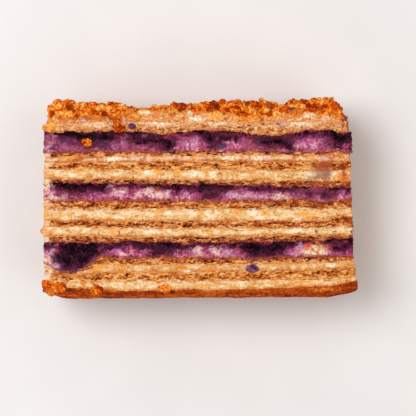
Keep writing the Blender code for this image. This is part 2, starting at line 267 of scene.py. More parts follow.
STAINS = [
    # The upper band
    *stains(
        "upper",
        (Tint.WINE, (-57, 65, 9, 4), (-46, 64.5, 6, 3), (-36, 65, 7, 4), (-28, 64.5, 4, 2)),
        (Tint.PLUM, (-60, 66.4, 4, 0.9, -20), (-54, 65.4, 3.4, 0.8, -24), (-44, 66.6, 3, 0.9),
         (-34, 66.6, 4, 0.8)),
        (Tint.MAUVE, (-61, 67.6, 3, 0.7, -24), (-57.6, 65, 3, 0.7, -24), (-52, 63.4, 3, 0.6),
         (-39.6, 66, 2, 0.5)),
        (Tint.LILAC, (-63.2, 66.4, 1.2, 0.5, -30), (-43, 63, 1.4, 0.4), (-32, 65.4, 0.5, 1.4),
         (-36, 63.8, 0.6, 1)),
    ),
    *stains("berries_upper", (Tint.CHERRY, (33, 68, 10, 1.6), (-10, 69, 8, 0.8), (12, 69, 8, 0.8))),
    *stains(
        "upper",
        (Tint.PLUM, (-45, 68.5, 5, 1.6), (-22, 67.5, 10, 2.0), (6, 68.5, 9, 1.8), (31, 67.5, 8, 2.2)),
        (Tint.WINE, (-60, 68.3, 3, 1.6), (-18, 64.4, 5, 1.4), (30, 64, 6, 1.4), (54, 66, 2.4, 3.0)),
        (Tint.ROSE, (-63, 68.3, 2.2, 2.0), (-51.5, 63.5, 2, 1), (-41.5, 62.8, 2, 0.8),
         (-26, 64.2, 2.2, 1.4), (-31.5, 68.4, 1.3, 1.1), (-23, 68.6, 1.1, 0.6), (1.6, 64.4, 1.6, 1.6),
         (26, 64, 2.4, 0.9), (20, 66, 3.6, 1.2), (21, 64.6, 3, 1.1), (50.6, 64.2, 1.7, 1.5),
         (45, 63.6, 3, 0.7)),
        (Tint.PURPLE, (-56.5, 66.8, 3.6, 1.9), (-43.3, 65.6, 2.2, 2.3), (-40, 64.8, 2.3, 1.6),
         (-62, 63.6, 1.1, 1), (-11, 66, 1.5, 1.6), (5.6, 65.7, 2.2, 1.2), (9, 64.2, 2.6, 1),
         (38.4, 66.2, 1.6, 1.4), (50, 69, 1, 0.7), (0.6, 69.2, 1.4, 0.6)),
        (Tint.MAUVE, (-57, 64, 2.1, 0.9, 10), (-35.3, 65, 1.6, 1.9), (-31.6, 64.5, 1.4, 1.8),
         (-8, 66.2, 1.6, 2.6), (-2.8, 67.4, 1.7, 0.9), (13.1, 65, 1.2, 1.5), (42, 66.4, 1.9, 1.7),
         (47.2, 66.8, 1.8, 1), (61.1, 64.8, 1.3, 1.2), (51.3, 67, 1.2, 1), (-61.5, 66.5, 0.9, 2.2, -30)),
        (Tint.LILAC, (-5.5, 64.6, 1.3, 1.6), (-2.1, 65.2, 1.3, 2.4, -15), (11, 66.2, 0.5, 0.6),
         (41.2, 64.3, 1.4, 1), (43.8, 64.9, 1, 1.2), (47.8, 64.8, 1.3, 2.1), (-63.8, 64, 0.7, 2, -35),
         (-60.6, 68.8, 1.2, 0.6)),
        (Tint.CHERRY, (-13.3, 67.8, 1.7, 0.6), (0.6, 66.4, 0.9, 1.8, 25), (7.3, 67.5, 0.9, 0.7),
         (49.2, 67, 0.7, 1.5)),
        (Tint.SLATE, (10, 63.7, 1.6, 0.6), (24.6, 66.8, 1, 0.7)),
        (Tint.INK, (-57.5, 69.9, 5.5, 1.2, -5), (-51.5, 68.8, 5, 1.5, -18), (-47, 68, 4, 1.4),
         (-39, 67.6, 3.4, 1.2), (-24, 66.1, 3.2, 0.7), (-18.5, 66.3, 3.4, 0.6, 6),
         (-13.2, 65.3, 2.4, 1.3, -40), (-10.5, 62, 0.9, 1), (0, 70.3, 1.8, 0.8), (4.2, 68, 1.3, 1.7),
         (11.3, 67.6, 2, 0.9), (15.3, 67, 0.6, 1.9), (28, 65.9, 2, 0.8), (32.5, 66.4, 3.6, 1),
         (37, 64.6, 2.7, 1.3, -50), (38.8, 62.2, 0.9, 0.9), (46, 69.6, 3, 0.6), (57, 69, 2.6, 0.8, 0, 0.5),
         (58.8, 67, 2, 1, -50, 0.35)),
        (Tint.PURPLE, (62.4, 68, 1.4, 2, 0, 0.4)),
        (Tint.INK, (63.6, 63, 1, 0.9), (58, 63, 1.6, 0.6), (-9.4, 66.8, 0.7, 0.4),
         (-54, 69.2, 5, 0.9, -10)),
    ),
    # The middle band
    *stains(
        "middle",
        (Tint.CREAM, (-64.2, 47.4, 2.2, 2.6), (-63.5, 42.6, 2.4, 0.8)),
        (Tint.BLUSH, (-62, 43.4, 1.6, 1.4), (-56.4, 44.1, 1.7, 1), (-34, 45.6, 3.4, 1.4),
         (-21.4, 45.3, 2.2, 2), (-25.4, 44.2, 1.6, 1.3), (-17, 43.8, 3.4, 1.6), (-13.6, 44.5, 1.3, 1.7),
         (33.6, 43.2, 3.4, 1.1), (37.6, 42.6, 2.2, 1), (52, 41.6, 0.9, 0.9), (-60, 42.5, 2, 0.7)),
        (Tint.ROSE, (-50, 43.6, 3, 1.2), (-57.6, 45.6, 2, 0.8), (-30, 44.2, 2, 1), (-7.6, 44.4, 1.4, 1),
         (21.5, 44.2, 2.4, 1.2), (24, 43.4, 2, 1.2), (41, 43.6, 2.4, 1.2), (48, 43.8, 1.2, 1.4),
         (-35.4, 47.4, 1.4, 0.7), (-3, 46.4, 1, 0.7), (32, 45.3, 1.8, 0.5), (57, 43.2, 1.4, 1.3)),
        (Tint.MAUVE, (-42.4, 44.2, 2.2, 1.2), (-38.2, 45.7, 1.5, 0.8), (-26.5, 46.2, 1, 1.2),
         (-2.4, 44.2, 1.3, 1), (17.8, 46, 1.3, 1.4), (19.7, 45.8, 1, 1.2), (25.6, 44.3, 1.2, 0.9),
         (59.2, 44.4, 1.4, 1.8)),
        (Tint.LILAC, (-61, 45, 0.8, 0.7), (-37.4, 47, 1.1, 0.8), (-5, 43.6, 1.5, 0.9),
         (12.6, 44, 1.7, 0.6), (16.5, 42.7, 2.8, 0.8), (27.5, 43.7, 1, 0.8), (50, 43.4, 0.9, 1.6),
         (59.4, 43.2, 0.9, 1)),
        (Tint.BRICK, (-17.8, 46.2, 1.7, 0.8), (-64, 43.8, 0.5, 0.8)),
        (Tint.CHERRY, (-60.5, 44.3, 0.8, 0.8), (-53.4, 44.3, 1.1, 0.9), (-28.8, 45.8, 1.6, 1.2),
         (-0.8, 43.8, 1.4, 1.2), (6.6, 46.8, 0.7, 0.5), (-1, 48, 0.8, 0.5), (5.2, 41.7, 2, 0.6),
         (14.6, 44.2, 0.8, 1)),
        (Tint.WINE, (-58.6, 46, 1.4, 1), (-46.6, 44.8, 3, 1.3), (42.6, 45, 2.6, 0.9), (55, 44, 2, 1.6),
         (-52, 44.6, 6, 1.6), (-40, 45.4, 3, 1.2), (50, 45, 5, 1.6)),
        (Tint.ROSE, (46, 45, 8, 2.2), (5, 45, 6, 2), (16, 45.5, 3, 1.6)),
        (Tint.LILAC, (14.6, 43.6, 3, 1.2), (19.4, 43.8, 3, 1.3), (24, 43.2, 2.4, 1)),
        (Tint.PLUM, (-43, 46.6, 2.4, 1.2), (3.4, 46.8, 4.4, 1.6), (5.6, 44, 3.2, 1.7),
         (9.6, 46.4, 3.4, 1.2), (-28.4, 47.7, 2.2, 0.6), (-23.4, 47.5, 1.3, 0.5), (-5, 47.3, 2.2, 0.6),
         (28, 46, 2.8, 0.7), (22, 46.8, 1.8, 0.8), (46, 44.2, 1.4, 1.6), (52.2, 43.8, 1.6, 1.2),
         (38, 46.3, 2.4, 0.4)),
        (Tint.INK, (-52, 47, 6, 1.4), (-49.6, 46.5, 2.4, 1), (-56.2, 47.9, 2.6, 0.7, 14),
         (-45.8, 47.9, 2.6, 0.7), (-9.4, 46.9, 2.6, 0.7), (-40.4, 46.3, 1, 0.8), (0.6, 45.6, 1, 0.9),
         (12.4, 47.2, 2.8, 0.6), (44.6, 47, 2.6, 0.8), (57, 46.1, 2.6, 0.6), (62.2, 45.4, 1.3, 0.7),
         (2.2, 47.4, 1.6, 0.6)),
    ),
    # The lower band
    *stains(
        "lower",
        (Tint.PLUM, (-54, 17, 7.5, 4), (-56.5, 13, 5, 1.8), (-42, 20.4, 3, 2.4)),
        (Tint.INK, (-51, 20.5, 5, 2.4), (-56, 15.5, 3.5, 2.4), (-44.5, 21.3, 2.4, 1.8),
         (-49, 16.6, 2.6, 1.6)),
        (Tint.CREAM, (-64.4, 16.6, 2.4, 1.4), (-63.6, 12.4, 2.2, 1.8)),
        (Tint.SLATE, (-59.6, 13.4, 2.2, 1.6, 30), (-61, 17, 1, 1.2), (-44, 16.6, 1, 1.4, -25, 0.6)),
        (Tint.PLUM, (-36, 22.6, 4, 0.8), (-26, 23, 6, 1), (-15, 21.5, 6, 2.4), (-7, 21.9, 4, 1.4),
         (27, 20.6, 9, 3), (12.4, 22.8, 2.2, 0.7), (36, 23.8, 3, 1.1)),
        (Tint.WINE, (58, 22.4, 6, 2.4)),
        (Tint.BLUSH, (-0.8, 20.4, 2.2, 1.9), (7, 20, 2.4, 1.7), (-32.4, 19.1, 2.4, 0.8),
         (44.4, 19.8, 2, 1)),
        (Tint.PEACH, (48, 21, 5, 2.6)),
        (Tint.PALE, (46.6, 20, 2, 1), (51.8, 19.8, 1.2, 1.2), (48.4, 22, 1, 0.8)),
        (Tint.LILAC, (-62, 20.6, 1.3, 1.3), (-60.4, 14, 1.6, 1.1), (-48, 12.8, 2, 0.6, 12),
         (-63.6, 19, 0.8, 0.9), (11.6, 19.8, 1.9, 1.6), (5, 21.5, 1.4, 0.9), (40, 19.3, 2.2, 0.8),
         (41.8, 22.2, 1.4, 1.7)),
        (Tint.MAUVE, (-60, 22.5, 1.3, 0.8), (-38, 19.8, 2.2, 1), (-22.4, 20.6, 2.4, 0.9),
         (-3.4, 19.8, 1.8, 1), (16.2, 19.4, 1.4, 1.4), (37.6, 20.6, 1.6, 1.5), (57.6, 19.8, 2.3, 0.6),
         (-9.7, 18.7, 0.9, 0.6)),
        (Tint.ROSE, (-27.4, 20, 0.9, 0.9), (4.2, 19, 0.6, 1.2), (9.2, 19.8, 0.7, 1.1),
         (9.6, 22.6, 1.3, 0.5)),
        (Tint.CHERRY, (-59.4, 20.6, 1.3, 1.1), (1.8, 21.2, 0.7, 1.4, -15), (-41.6, 21.7, 1, 0.5),
         (-7, 19, 1.2, 0.9), (54.3, 22.4, 1, 1.5), (-42, 17.2, 2.6, 0.6), (61.4, 24, 0.8, 0.8),
         (28, 24, 1.6, 0.6)),
        (Tint.PURPLE, (-64.2, 21, 0.9, 0.7), (-43.8, 17, 0.8, 1.5, -25), (-57.4, 15.4, 0.9, 0.7),
         (-51.6, 12.6, 1.7, 0.6)),
        (Tint.BRICK, (2, 18.7, 1, 0.5), (16, 22.4, 0.9, 0.8), (52.2, 19.3, 0.4, 0.6)),
        (Tint.FLAME, (45.8, 23.3, 1.9, 0.8), (46.8, 20.8, 0.5, 0.5)),
        (Tint.AMBER, (49.8, 23.9, 1.4, 0.8), (50, 20.4, 0.4, 1), (44, 22, 0.8, 0.6), (47.6, 21, 0.7, 0.6)),
        (Tint.BRICK, (52.4, 22.4, 0.8, 1.2), (49.6, 22.4, 1.2, 0.4), (51.6, 18.6, 1.4, 0.4)),
        (Tint.INK, (-13.4, 23.2, 2.6, 1), (-9, 22, 2.2, 0.8), (23.4, 21.4, 3.6, 1.8), (32, 22, 3.6, 1.2),
         (19.6, 21.2, 1, 0.8), (37.4, 24.5, 1.8, 0.5), (58.4, 21.7, 2.2, 0.5), (62.2, 22, 1.6, 1.1)),
    ),
    # Cream and juice at the left end
    *stains(
        "_0",
        (Tint.PEACH, (-64.8, 54, 1.6, 5), (-64.8, 38, 1.2, 5), (-64.8, 30, 1, 3)),
        (Tint.CREAM, (-64.2, 16.4, 2.4, 1.6), (-64, 11.6, 2.4, 2.2), (-64.6, 9, 2, 1.2)),
        (Tint.PEACH, (-63.6, 13.4, 1.6, 0.8)),
        (Tint.BRICK, (-63.9, 11.9, 0.7, 0.4), (-59, 11, 3, 0.4), (-64.6, 13.6, 0.5, 0.6)),
    ),
    # Crumbs, berry juice and honey on the top sponge and cream
    *stains(
        "sponge_09",
        (Tint.GOLD, (-62.5, 72.5, 2, 2), (-28, 73.6, 1.4, 1)),
        (Tint.AMBER, (-56, 74.6, 5, 0.9), (-44, 74.8, 4, 0.7), (20, 75, 8, 0.8), (57, 74.6, 4, 1)),
        (Tint.PALE, (-16, 73.8, 6, 1.2, 0, 0.6), (42, 73.6, 6, 1.2, 0, 0.7), (8, 74, 4, 1, 0, 0.6),
         (-43, 73.4, 5, 1.2, 0, 0.5)),
        (Tint.BRICK, (-38.6, 74.2, 0.8, 0.7), (2.2, 73, 1, 0.7), (26.6, 73.8, 0.7, 0.9),
         (62, 73.4, 0.9, 2)),
        (Tint.LILAC, (33.6, 73.8, 1.6, 0.6, -20), (-28, 73.9, 1.2, 0.7)),
        (Tint.SLATE, (21.3, 73.2, 0.5, 0.4), (22.3, 72.3, 0.6, 0.4), (33.4, 73.8, 1, 0.4, -20)),
        (Tint.RUST, (59.9, 73, 0.5, 1.2), (-8, 71.4, 1.6, 0.3), (-21.5, 71.2, 1.4, 0.3, -20)),
        (Tint.INK, (-15.1, 70.9, 0.5, 0.4), (-30.4, 70.4, 1, 0.4)),
    ),
    *stains(
        "cream_07",
        (Tint.GOLD, (-61.5, 77, 2.4, 2.4), (-26, 77, 3, 1.8), (31, 77.5, 4, 1.6), (20, 77, 5, 2),
         (-15, 79, 6, 0.8), (7, 77, 4, 1.8), (-50, 77, 5, 1.5)),
        (Tint.BRICK, (-54, 76.6, 6, 1.4), (-44, 76.4, 6, 1.2), (-17, 79, 4, 0.9, 0, 0.6)),
        (Tint.AMBER, (-20, 77.2, 4, 1, 0, 0.7), (-10, 78.4, 3, 0.8, 0, 0.6), (-55, 77.4, 3, 1.6),
         (-42, 77, 4, 2), (-29.6, 77.5, 2.3, 1), (-12.6, 76.5, 1.2, 1), (-18.5, 77, 0.8, 1.4, 45),
         (-7, 76, 1.3, 0.6), (18.8, 76, 2, 1), (25, 76.5, 2, 1.6), (41, 77.5, 3.5, 0.9), (50, 78, 3, 1),
         (58, 77.5, 2.4, 1.8), (2.4, 78.6, 1.6, 0.6)),
        (Tint.FLAME, (31.3, 75.9, 1.6, 0.8, 0, 0.5), (-40.6, 78.4, 2.2, 0.6),
         (19.4, 75.8, 1.2, 0.6, 0, 0.5)),
        (Tint.BRICK, (-35.6, 76, 2, 1.4), (-10.8, 77.5, 1, 0.8), (26.2, 75.8, 0.9, 1.2),
         (54.7, 77.3, 0.9, 0.8, 45)),
        (Tint.RUST, (-39, 77, 2.6, 0.6, -18), (-43.4, 77.6, 2, 0.3), (-56.4, 78.8, 0.9, 0.5),
         (10.4, 78.1, 0.6, 0.6), (61.6, 77, 1.2, 2.6), (59.8, 74.6, 0.5, 1.2), (10.7, 76, 0.5, 0.5)),
        (Tint.PALE, (45.4, 77.3, 2, 1), (-23, 78.4, 2.4, 0.8), (-1, 75.6, 3.4, 0.8), (-4, 77.4, 1, 1)),
        (Tint.SLATE, (-50.8, 76.6, 0.6, 0.5), (38.6, 79.8, 1.5, 0.6), (-47, 75.6, 0.5, 0.4)),
        (Tint.LILAC, (-48.5, 75.4, 1.2, 0.6, 0, 0.4), (-30, 75, 1.6, 1, 0, 0.5)),
        (Tint.FLAME, (-52, 77.6, 1.2, 0.5), (-46, 77.8, 1, 0.5), (-58, 77, 0.8, 0.6)),
    ),
    # Juice that ran under the upper band, and honey under it
    *stains(
        "sponge_08",
        (Tint.PLUM, (37, 61.7, 2.6, 0.9), (-11, 61.7, 1.6, 0.8), (28, 62, 3, 0.4), (10, 62, 2.4, 0.4)),
    ),
    *stains(
        "cream_06",
        (Tint.BRICK, (-52, 59.2, 4, 1), (-44, 60, 3, 0.8), (-58, 60.2, 3, 0.8)),
        (Tint.BLUSH, (-27.4, 59.4, 1.3, 0.8), (-21.4, 59, 1.3, 1), (28.4, 59.3, 1.6, 0.9),
         (52, 58.8, 2, 0.9)),
        (Tint.GOLD, (-2.4, 59.6, 1.5, 0.6), (-55, 59.6, 4, 0.8), (47, 59.6, 1.6, 0.7)),
        (Tint.PALE, (-36, 59, 4, 0.8), (12, 59.6, 4, 0.6), (24.6, 59, 1.6, 0.8)),
    ),
    # The crumbs of the topping
    *stains(
        "crumb",
        (Tint.GOLD, (-52, 81, 1.2, 2), (-59.5, 82.6, 1.6, 1.2), (54, 84.8, 1.5, 0.7), (-33, 81.8, 1.4, 1)),
        (Tint.FLAME, (-41, 78.8, 2.4, 0.6), (-45, 81.4, 2, 1), (58, 81, 3, 1), (45, 79.8, 2.5, 0.8)),
        (Tint.RUST, (-54.7, 81, 1, 1.6), (-50, 80, 0.6, 1.2), (-42.6, 81.6, 2.2, 0.7),
         (6.4, 81.4, 1.8, 1.5), (48.8, 80.4, 1.7, 0.9), (19.6, 82, 0.7, 0.6), (24, 79.7, 0.8, 0.5),
         (61, 79, 1, 2)),
        (Tint.BROWN, (-8.8, 81.5, 1, 0.9)),
        (Tint.BRICK, (-6.4, 80.2, 1.6, 1.2), (29, 81.6, 1.5, 1)),
        (Tint.SLATE, (-30.3, 80.2, 0.6, 0.3), (-26, 80.2, 0.6, 0.3), (38.8, 80.2, 1.8, 0.7),
         (23.4, 83, 0.5, 0.3)),
    ),
    # Honey, holes darkened with painted shade, and baked spots in the sponges and creams
    *stains(
        "cream_05",
        (Tint.GOLD, (-50, 54.2, 3.4, 0.8), (-25, 53, 1, 1.3), (-18, 54, 1.4, 1), (-9, 53.4, 1.8, 1),
         (3.6, 52.4, 0.9, 1.5), (11.6, 52.3, 1.1, 0.6), (26, 53.2, 1.8, 0.8), (57.4, 51.4, 2.2, 0.8)),
        (Tint.AMBER, (-37, 54.8, 2.4, 0.4), (18.4, 53.7, 4, 0.4), (61.4, 51.5, 1.5, 2), (33, 54.2, 2, 0.5)),
        (Tint.PALE, (-1.4, 53, 2.2, 1.2), (5.9, 52.8, 1.5, 1.2), (-21.3, 53.4, 2, 1.3),
         (56, 52.8, 1.8, 0.8)),
    ),
    *stains(
        "_0",
        (Tint.GREY, (49.4, 52.4, 5, 2.8, 20, 0.9), (52.6, 53, 2.4, 3, 0, 0.9)),
        (Tint.DUSK, (53.4, 53.4, 1.4, 3, 0, 0.4)),
    ),
    *stains(
        "cream_05",
        (Tint.PALE, (46.8, 52.6, 2.6, 1, 0, 0.6)),
        (Tint.AMBER, (60.4, 51.6, 3.4, 1.6, 0, 0.8)),
    ),
    *stains(
        "_0",
        (Tint.BRICK, (53, 56.6, 5, 1.8), (50, 49, 5, 0.9), (60.6, 52.6, 1, 2.4), (63, 33, 2, 1.6)),
    ),
    *stains(
        "sponge_05",
        (Tint.RUST, (27, 40.6, 5, 0.8, 0, 0.7), (39, 40.2, 8, 0.9, 0, 0.6), (50, 39.8, 5, 1.2, 0, 0.7)),
    ),
    *stains(
        "cream_04",
        (Tint.GOLD, (-16, 37, 2.8, 0.8), (0.8, 36.3, 1.3, 1.2), (16, 36.8, 3.2, 0.8), (27.6, 36.5, 1.7, 1),
         (44.6, 35.8, 4, 0.8), (-64.7, 36, 1, 1.5), (50, 37, 1.8, 0.6)),
        (Tint.AMBER, (48.4, 34.3, 0.9, 1), (-53, 36.4, 0.8, 0.4), (56.2, 34, 1, 0.9)),
        (Tint.PALE, (-3, 36.5, 1.7, 1.2), (3.6, 36.4, 1, 1.4), (-13, 36.5, 1.7, 1), (22.4, 36.6, 2, 1.2),
         (25.4, 34.6, 2.2, 0.9), (6.8, 36.6, 1, 1.2), (40.6, 33.8, 1.6, 0.8)),
        (Tint.CHERRY, (30.3, 33.7, 0.4, 0.8, 15), (-52.5, 35.1, 0.3, 0.5)),
    ),
    *stains(
        "cream_03",
        (Tint.GOLD, (-36.6, 28.6, 2, 1.4), (-7.4, 29.4, 1.3, 0.6), (4, 28.5, 1.8, 0.8),
         (8.6, 29.4, 1.7, 0.6)),
        (Tint.FLAME, (-62, 27.8, 0.6, 0.6), (-34, 28, 0.6, 1, 30)),
        (Tint.BRICK, (49, 28.3, 1, 0.9), (-42, 28, 0.4, 1), (63.7, 28.6, 0.8, 1)),
        (Tint.RUST, (15.2, 29.3, 0.9, 0.3), (56.6, 28.6, 0.9, 0.4)),
        (Tint.PALE, (40, 28.9, 4.4, 0.9), (-20, 28.6, 3, 1)),
    ),
    *stains(
        "cream_02",
        (Tint.GOLD, (-33, 13.4, 2, 0.5), (-39, 13.4, 1.1, 0.8), (-42.6, 14, 2.2, 1.2),
         (31, 14.6, 2.4, 0.4)),
        (Tint.AMBER, (-7.4, 13.6, 2.2, 1.2), (4.2, 12.6, 1.8, 1.2), (7.6, 13.4, 1.6, 0.3)),
        (Tint.PALE, (-1, 13.6, 1.1, 0.5), (55, 14.4, 2.6, 0.8), (-5, 12, 2, 0.5)),
    ),
    *stains(
        "cream_01",
        (Tint.GOLD, (30, 7.1, 3, 0.5), (43, 7.3, 6, 0.8, 3), (2.4, 6, 1.3, 0.6), (13.4, 6.4, 0.8, 0.8)),
        (Tint.AMBER, (37, 6.3, 3.6, 0.4), (-48.4, 6.8, 1.2, 1.2), (-62.4, 7.4, 1.6, 1.4)),
        (Tint.WINE, (-55.4, 8, 0.4, 1.5)),
    ),
    *stains(
        "bottom_crust",
        (Tint.AMBER, (-61, 4.4, 3.4, 1.6), (-43, 4.4, 2.8, 1.5), (-17.4, 4.6, 1.3, 0.9), (52, 4.4, 6, 0.7)),
        (Tint.FLAME, (-43.5, 3.2, 1.5, 1), (-61.4, 6.2, 0.6, 0.6), (-41, 5, 0.8, 0.6)),
        (Tint.RUST, (-48, 1.4, 3, 0.5), (-20, 3, 4, 0.8), (64, 6.8, 1.4, 1.4), (-30, 2.4, 6, 0.8)),
        (Tint.BROWN, (-54, 4.6, 1.6, 1.1), (-38.2, 2.6, 1.2, 0.3), (-11.5, 3.4, 0.8, 1),
         (-65.2, 4.4, 0.9, 0.5)),
        (Tint.SLATE, (-57.2, 5.7, 0.7, 0.5)),
    ),
    *stains(
        "sponge",
        (Tint.BROWN, (-57, 39.4, 1.6, 0.4), (-53, 41.3, 1.2, 0.3), (-49.4, 39.3, 1.2, 0.4, -20),
         (-27, 42, 1.4, 0.4, 10), (-34.6, 49.5, 1, 0.4), (-29.6, 49.6, 1.2, 0.4, -25), (-56.8, 32, 1, 0.4),
         (-29.5, 32.2, 0.6, 0.6), (-26, 31.7, 2.6, 0.3, 3), (-5.4, 49.8, 1, 0.4), (0.6, 49.2, 1.5, 0.5),
         (7, 48.7, 1, 0.4), (-17.4, 42, 1.2, 0.2), (-5.2, 38.7, 1, 0.4), (0, 40.5, 1.2, 0.3),
         (7.8, 40.5, 0.8, 0.3), (-3.7, 31.5, 1, 0.3), (1.1, 31.2, 1, 0.4), (6.9, 56.3, 1, 0.5),
         (-2.2, 57.4, 0.8, 0.3), (30.6, 39.4, 2.2, 0.6), (38.6, 38.2, 2.4, 0.3), (47.8, 38.8, 1.2, 0.5),
         (54.8, 40.2, 1.6, 0.8), (47.4, 57.2, 0.9, 0.3), (34.4, 56.2, 1.2, 0.3), (56.6, 56.4, 1, 0.4),
         (46, 49.6, 2, 0.4), (58, 33.2, 0.7, 0.9), (37.6, 31.1, 1.2, 0.3), (53.4, 31.6, 1.5, 0.3, 20),
         (45.6, 17.6, 1.9, 0.8), (-42.4, 10.3, 1, 0.3), (-24.4, 12, 0.8, 0.3), (7.8, 10.3, 0.5, 0.4),
         (4.6, 16, 2, 0.3), (-48.8, 9.5, 0.6, 0.4), (47.6, 10.8, 0.7, 0.4, -20), (10, 17.4, 0.9, 0.3),
         (-5.4, 62.3, 1.8, 0.3), (1.6, 62.4, 1.9, 0.3, 8), (18.6, 62.5, 2, 0.3, -15), (43.6, 62, 1.9, 0.3),
         (51, 62.1, 1.6, 0.3, 10)),
        (Tint.RUST, (-54.4, 56, 2.6, 0.6), (-32, 56, 1, 0.5), (-24.4, 57, 0.8, 0.8), (-49, 31.5, 1.6, 0.4),
         (-37, 31.3, 3, 0.3), (10, 31.5, 2.2, 0.3), (15, 39, 1.6, 0.3), (-20, 56, 1.6, 0.3),
         (60, 55.6, 2.4, 1.4), (61.6, 58, 1.6, 1.2), (62.2, 48.4, 1.4, 1.2), (61, 33.6, 2.6, 1)),
        (Tint.BRICK, (62.4, 13.4, 1.8, 0.8), (57.6, 26.8, 2.4, 0.6), (63.4, 40.5, 1.6, 1.6),
         (-59.6, 24.9, 1, 0.6)),
        (Tint.CREAM, (-64, 57, 1.8, 2), (-64, 49.8, 1.6, 1), (-64.4, 17.4, 1.4, 1.2),
         (-63.6, 11.8, 1.6, 1)),
    ),
]


# --- Uneven shapes --------------------------------------------------


def ease(t: Array) -> Array:
    """A square ramp from 0 at t = 0 to 1 at t = 1, held outside."""
    return np.clip(t, 0.0, 1.0) ** 2


def smooth(value: Array, low: float, high: float) -> Array:
    """A smooth step from 0 at low to 1 at high; low may be the larger."""
    t = np.clip((value - low) / (high - low), 0.0, 1.0)
    return t * t * (3 - 2 * t)


def hill(distance: Array, reach: float) -> Array:
    """A smooth hill of height 1 that has mostly faded at its reach."""
    return np.exp(-1.5 * (distance / reach) ** 2)


class Roughness:
    """Seeded unevenness in space: gentle waves, grain and lumps."""

    def __init__(self, seed: int) -> None:
        """Draws the tables of directions and places.

        Args:
            seed: The same seed gives the same unevenness.
        """
        draw = np.random.default_rng(seed)
        self._order = np.concatenate([draw.permutation(256)] * 3)
        way = draw.normal(size=(256, 3))
        self._way = way / np.linalg.norm(way, axis=1, keepdims=True)
        self._place = draw.uniform(0.0, 1.0, (256, 3))
        self._chance = draw.uniform(0.0, 1.0, 256)

    def _hash(self, cell: Array) -> Array:
        """A number from 0 to 255 for each whole-number cell."""
        x, y, z = (cell[:, axis] & 255 for axis in range(3))
        return self._order[self._order[self._order[x] + y] + z]

    def grain(self, points: Array) -> Array:
        """Smooth noise with features about one unit wide.

        Args:
            points: One place per row, in units of the feature size.

        Returns:
            Values between about -1 and 1.
        """
        base = np.floor(points).astype(int)
        part = points - base
        blend = part**3 * (part * (part * 6 - 15) + 10)
        total = np.zeros(len(points))
        for corner in range(8):
            step = np.array([corner & 1, corner >> 1 & 1, corner >> 2 & 1])
            weight = np.prod(np.where(step, blend, 1 - blend), axis=1)
            way = self._way[self._hash(base + step)]
            total += weight * np.einsum("ij,ij->i", way, part - step)
        return total * 1.8

    def layered(self, points: Array, octaves: int = 3) -> Array:
        """Noise with finer noise on it, each octave half as wide and half as strong."""
        return sum(self.grain(points * 2**n + 17.3 * n) / 2**n for n in range(octaves)) / 1.5

    def cells(self, points: Array) -> tuple[Array, Array]:
        """Scattered places, about one for each unit cube.

        Args:
            points: One place per row, in units of the spacing.

        Returns:
            The distance to the nearest scattered place, and that place's own chance from 0 to 1.
        """
        base = np.floor(points).astype(int)
        nearest = np.full(len(points), FAR)
        chance = np.zeros(len(points))
        for step in np.ndindex(3, 3, 3):
            cell = base + np.array(step) - 1
            key = self._hash(cell)
            away = np.linalg.norm(cell + self._place[key] - points, axis=1)
            closer = away < nearest
            nearest = np.where(closer, away, nearest)
            chance = np.where(closer, self._chance[key], chance)
        return nearest, chance


ROUGH = Roughness(SEED)


# --- The slice's form -----------------------------------------------


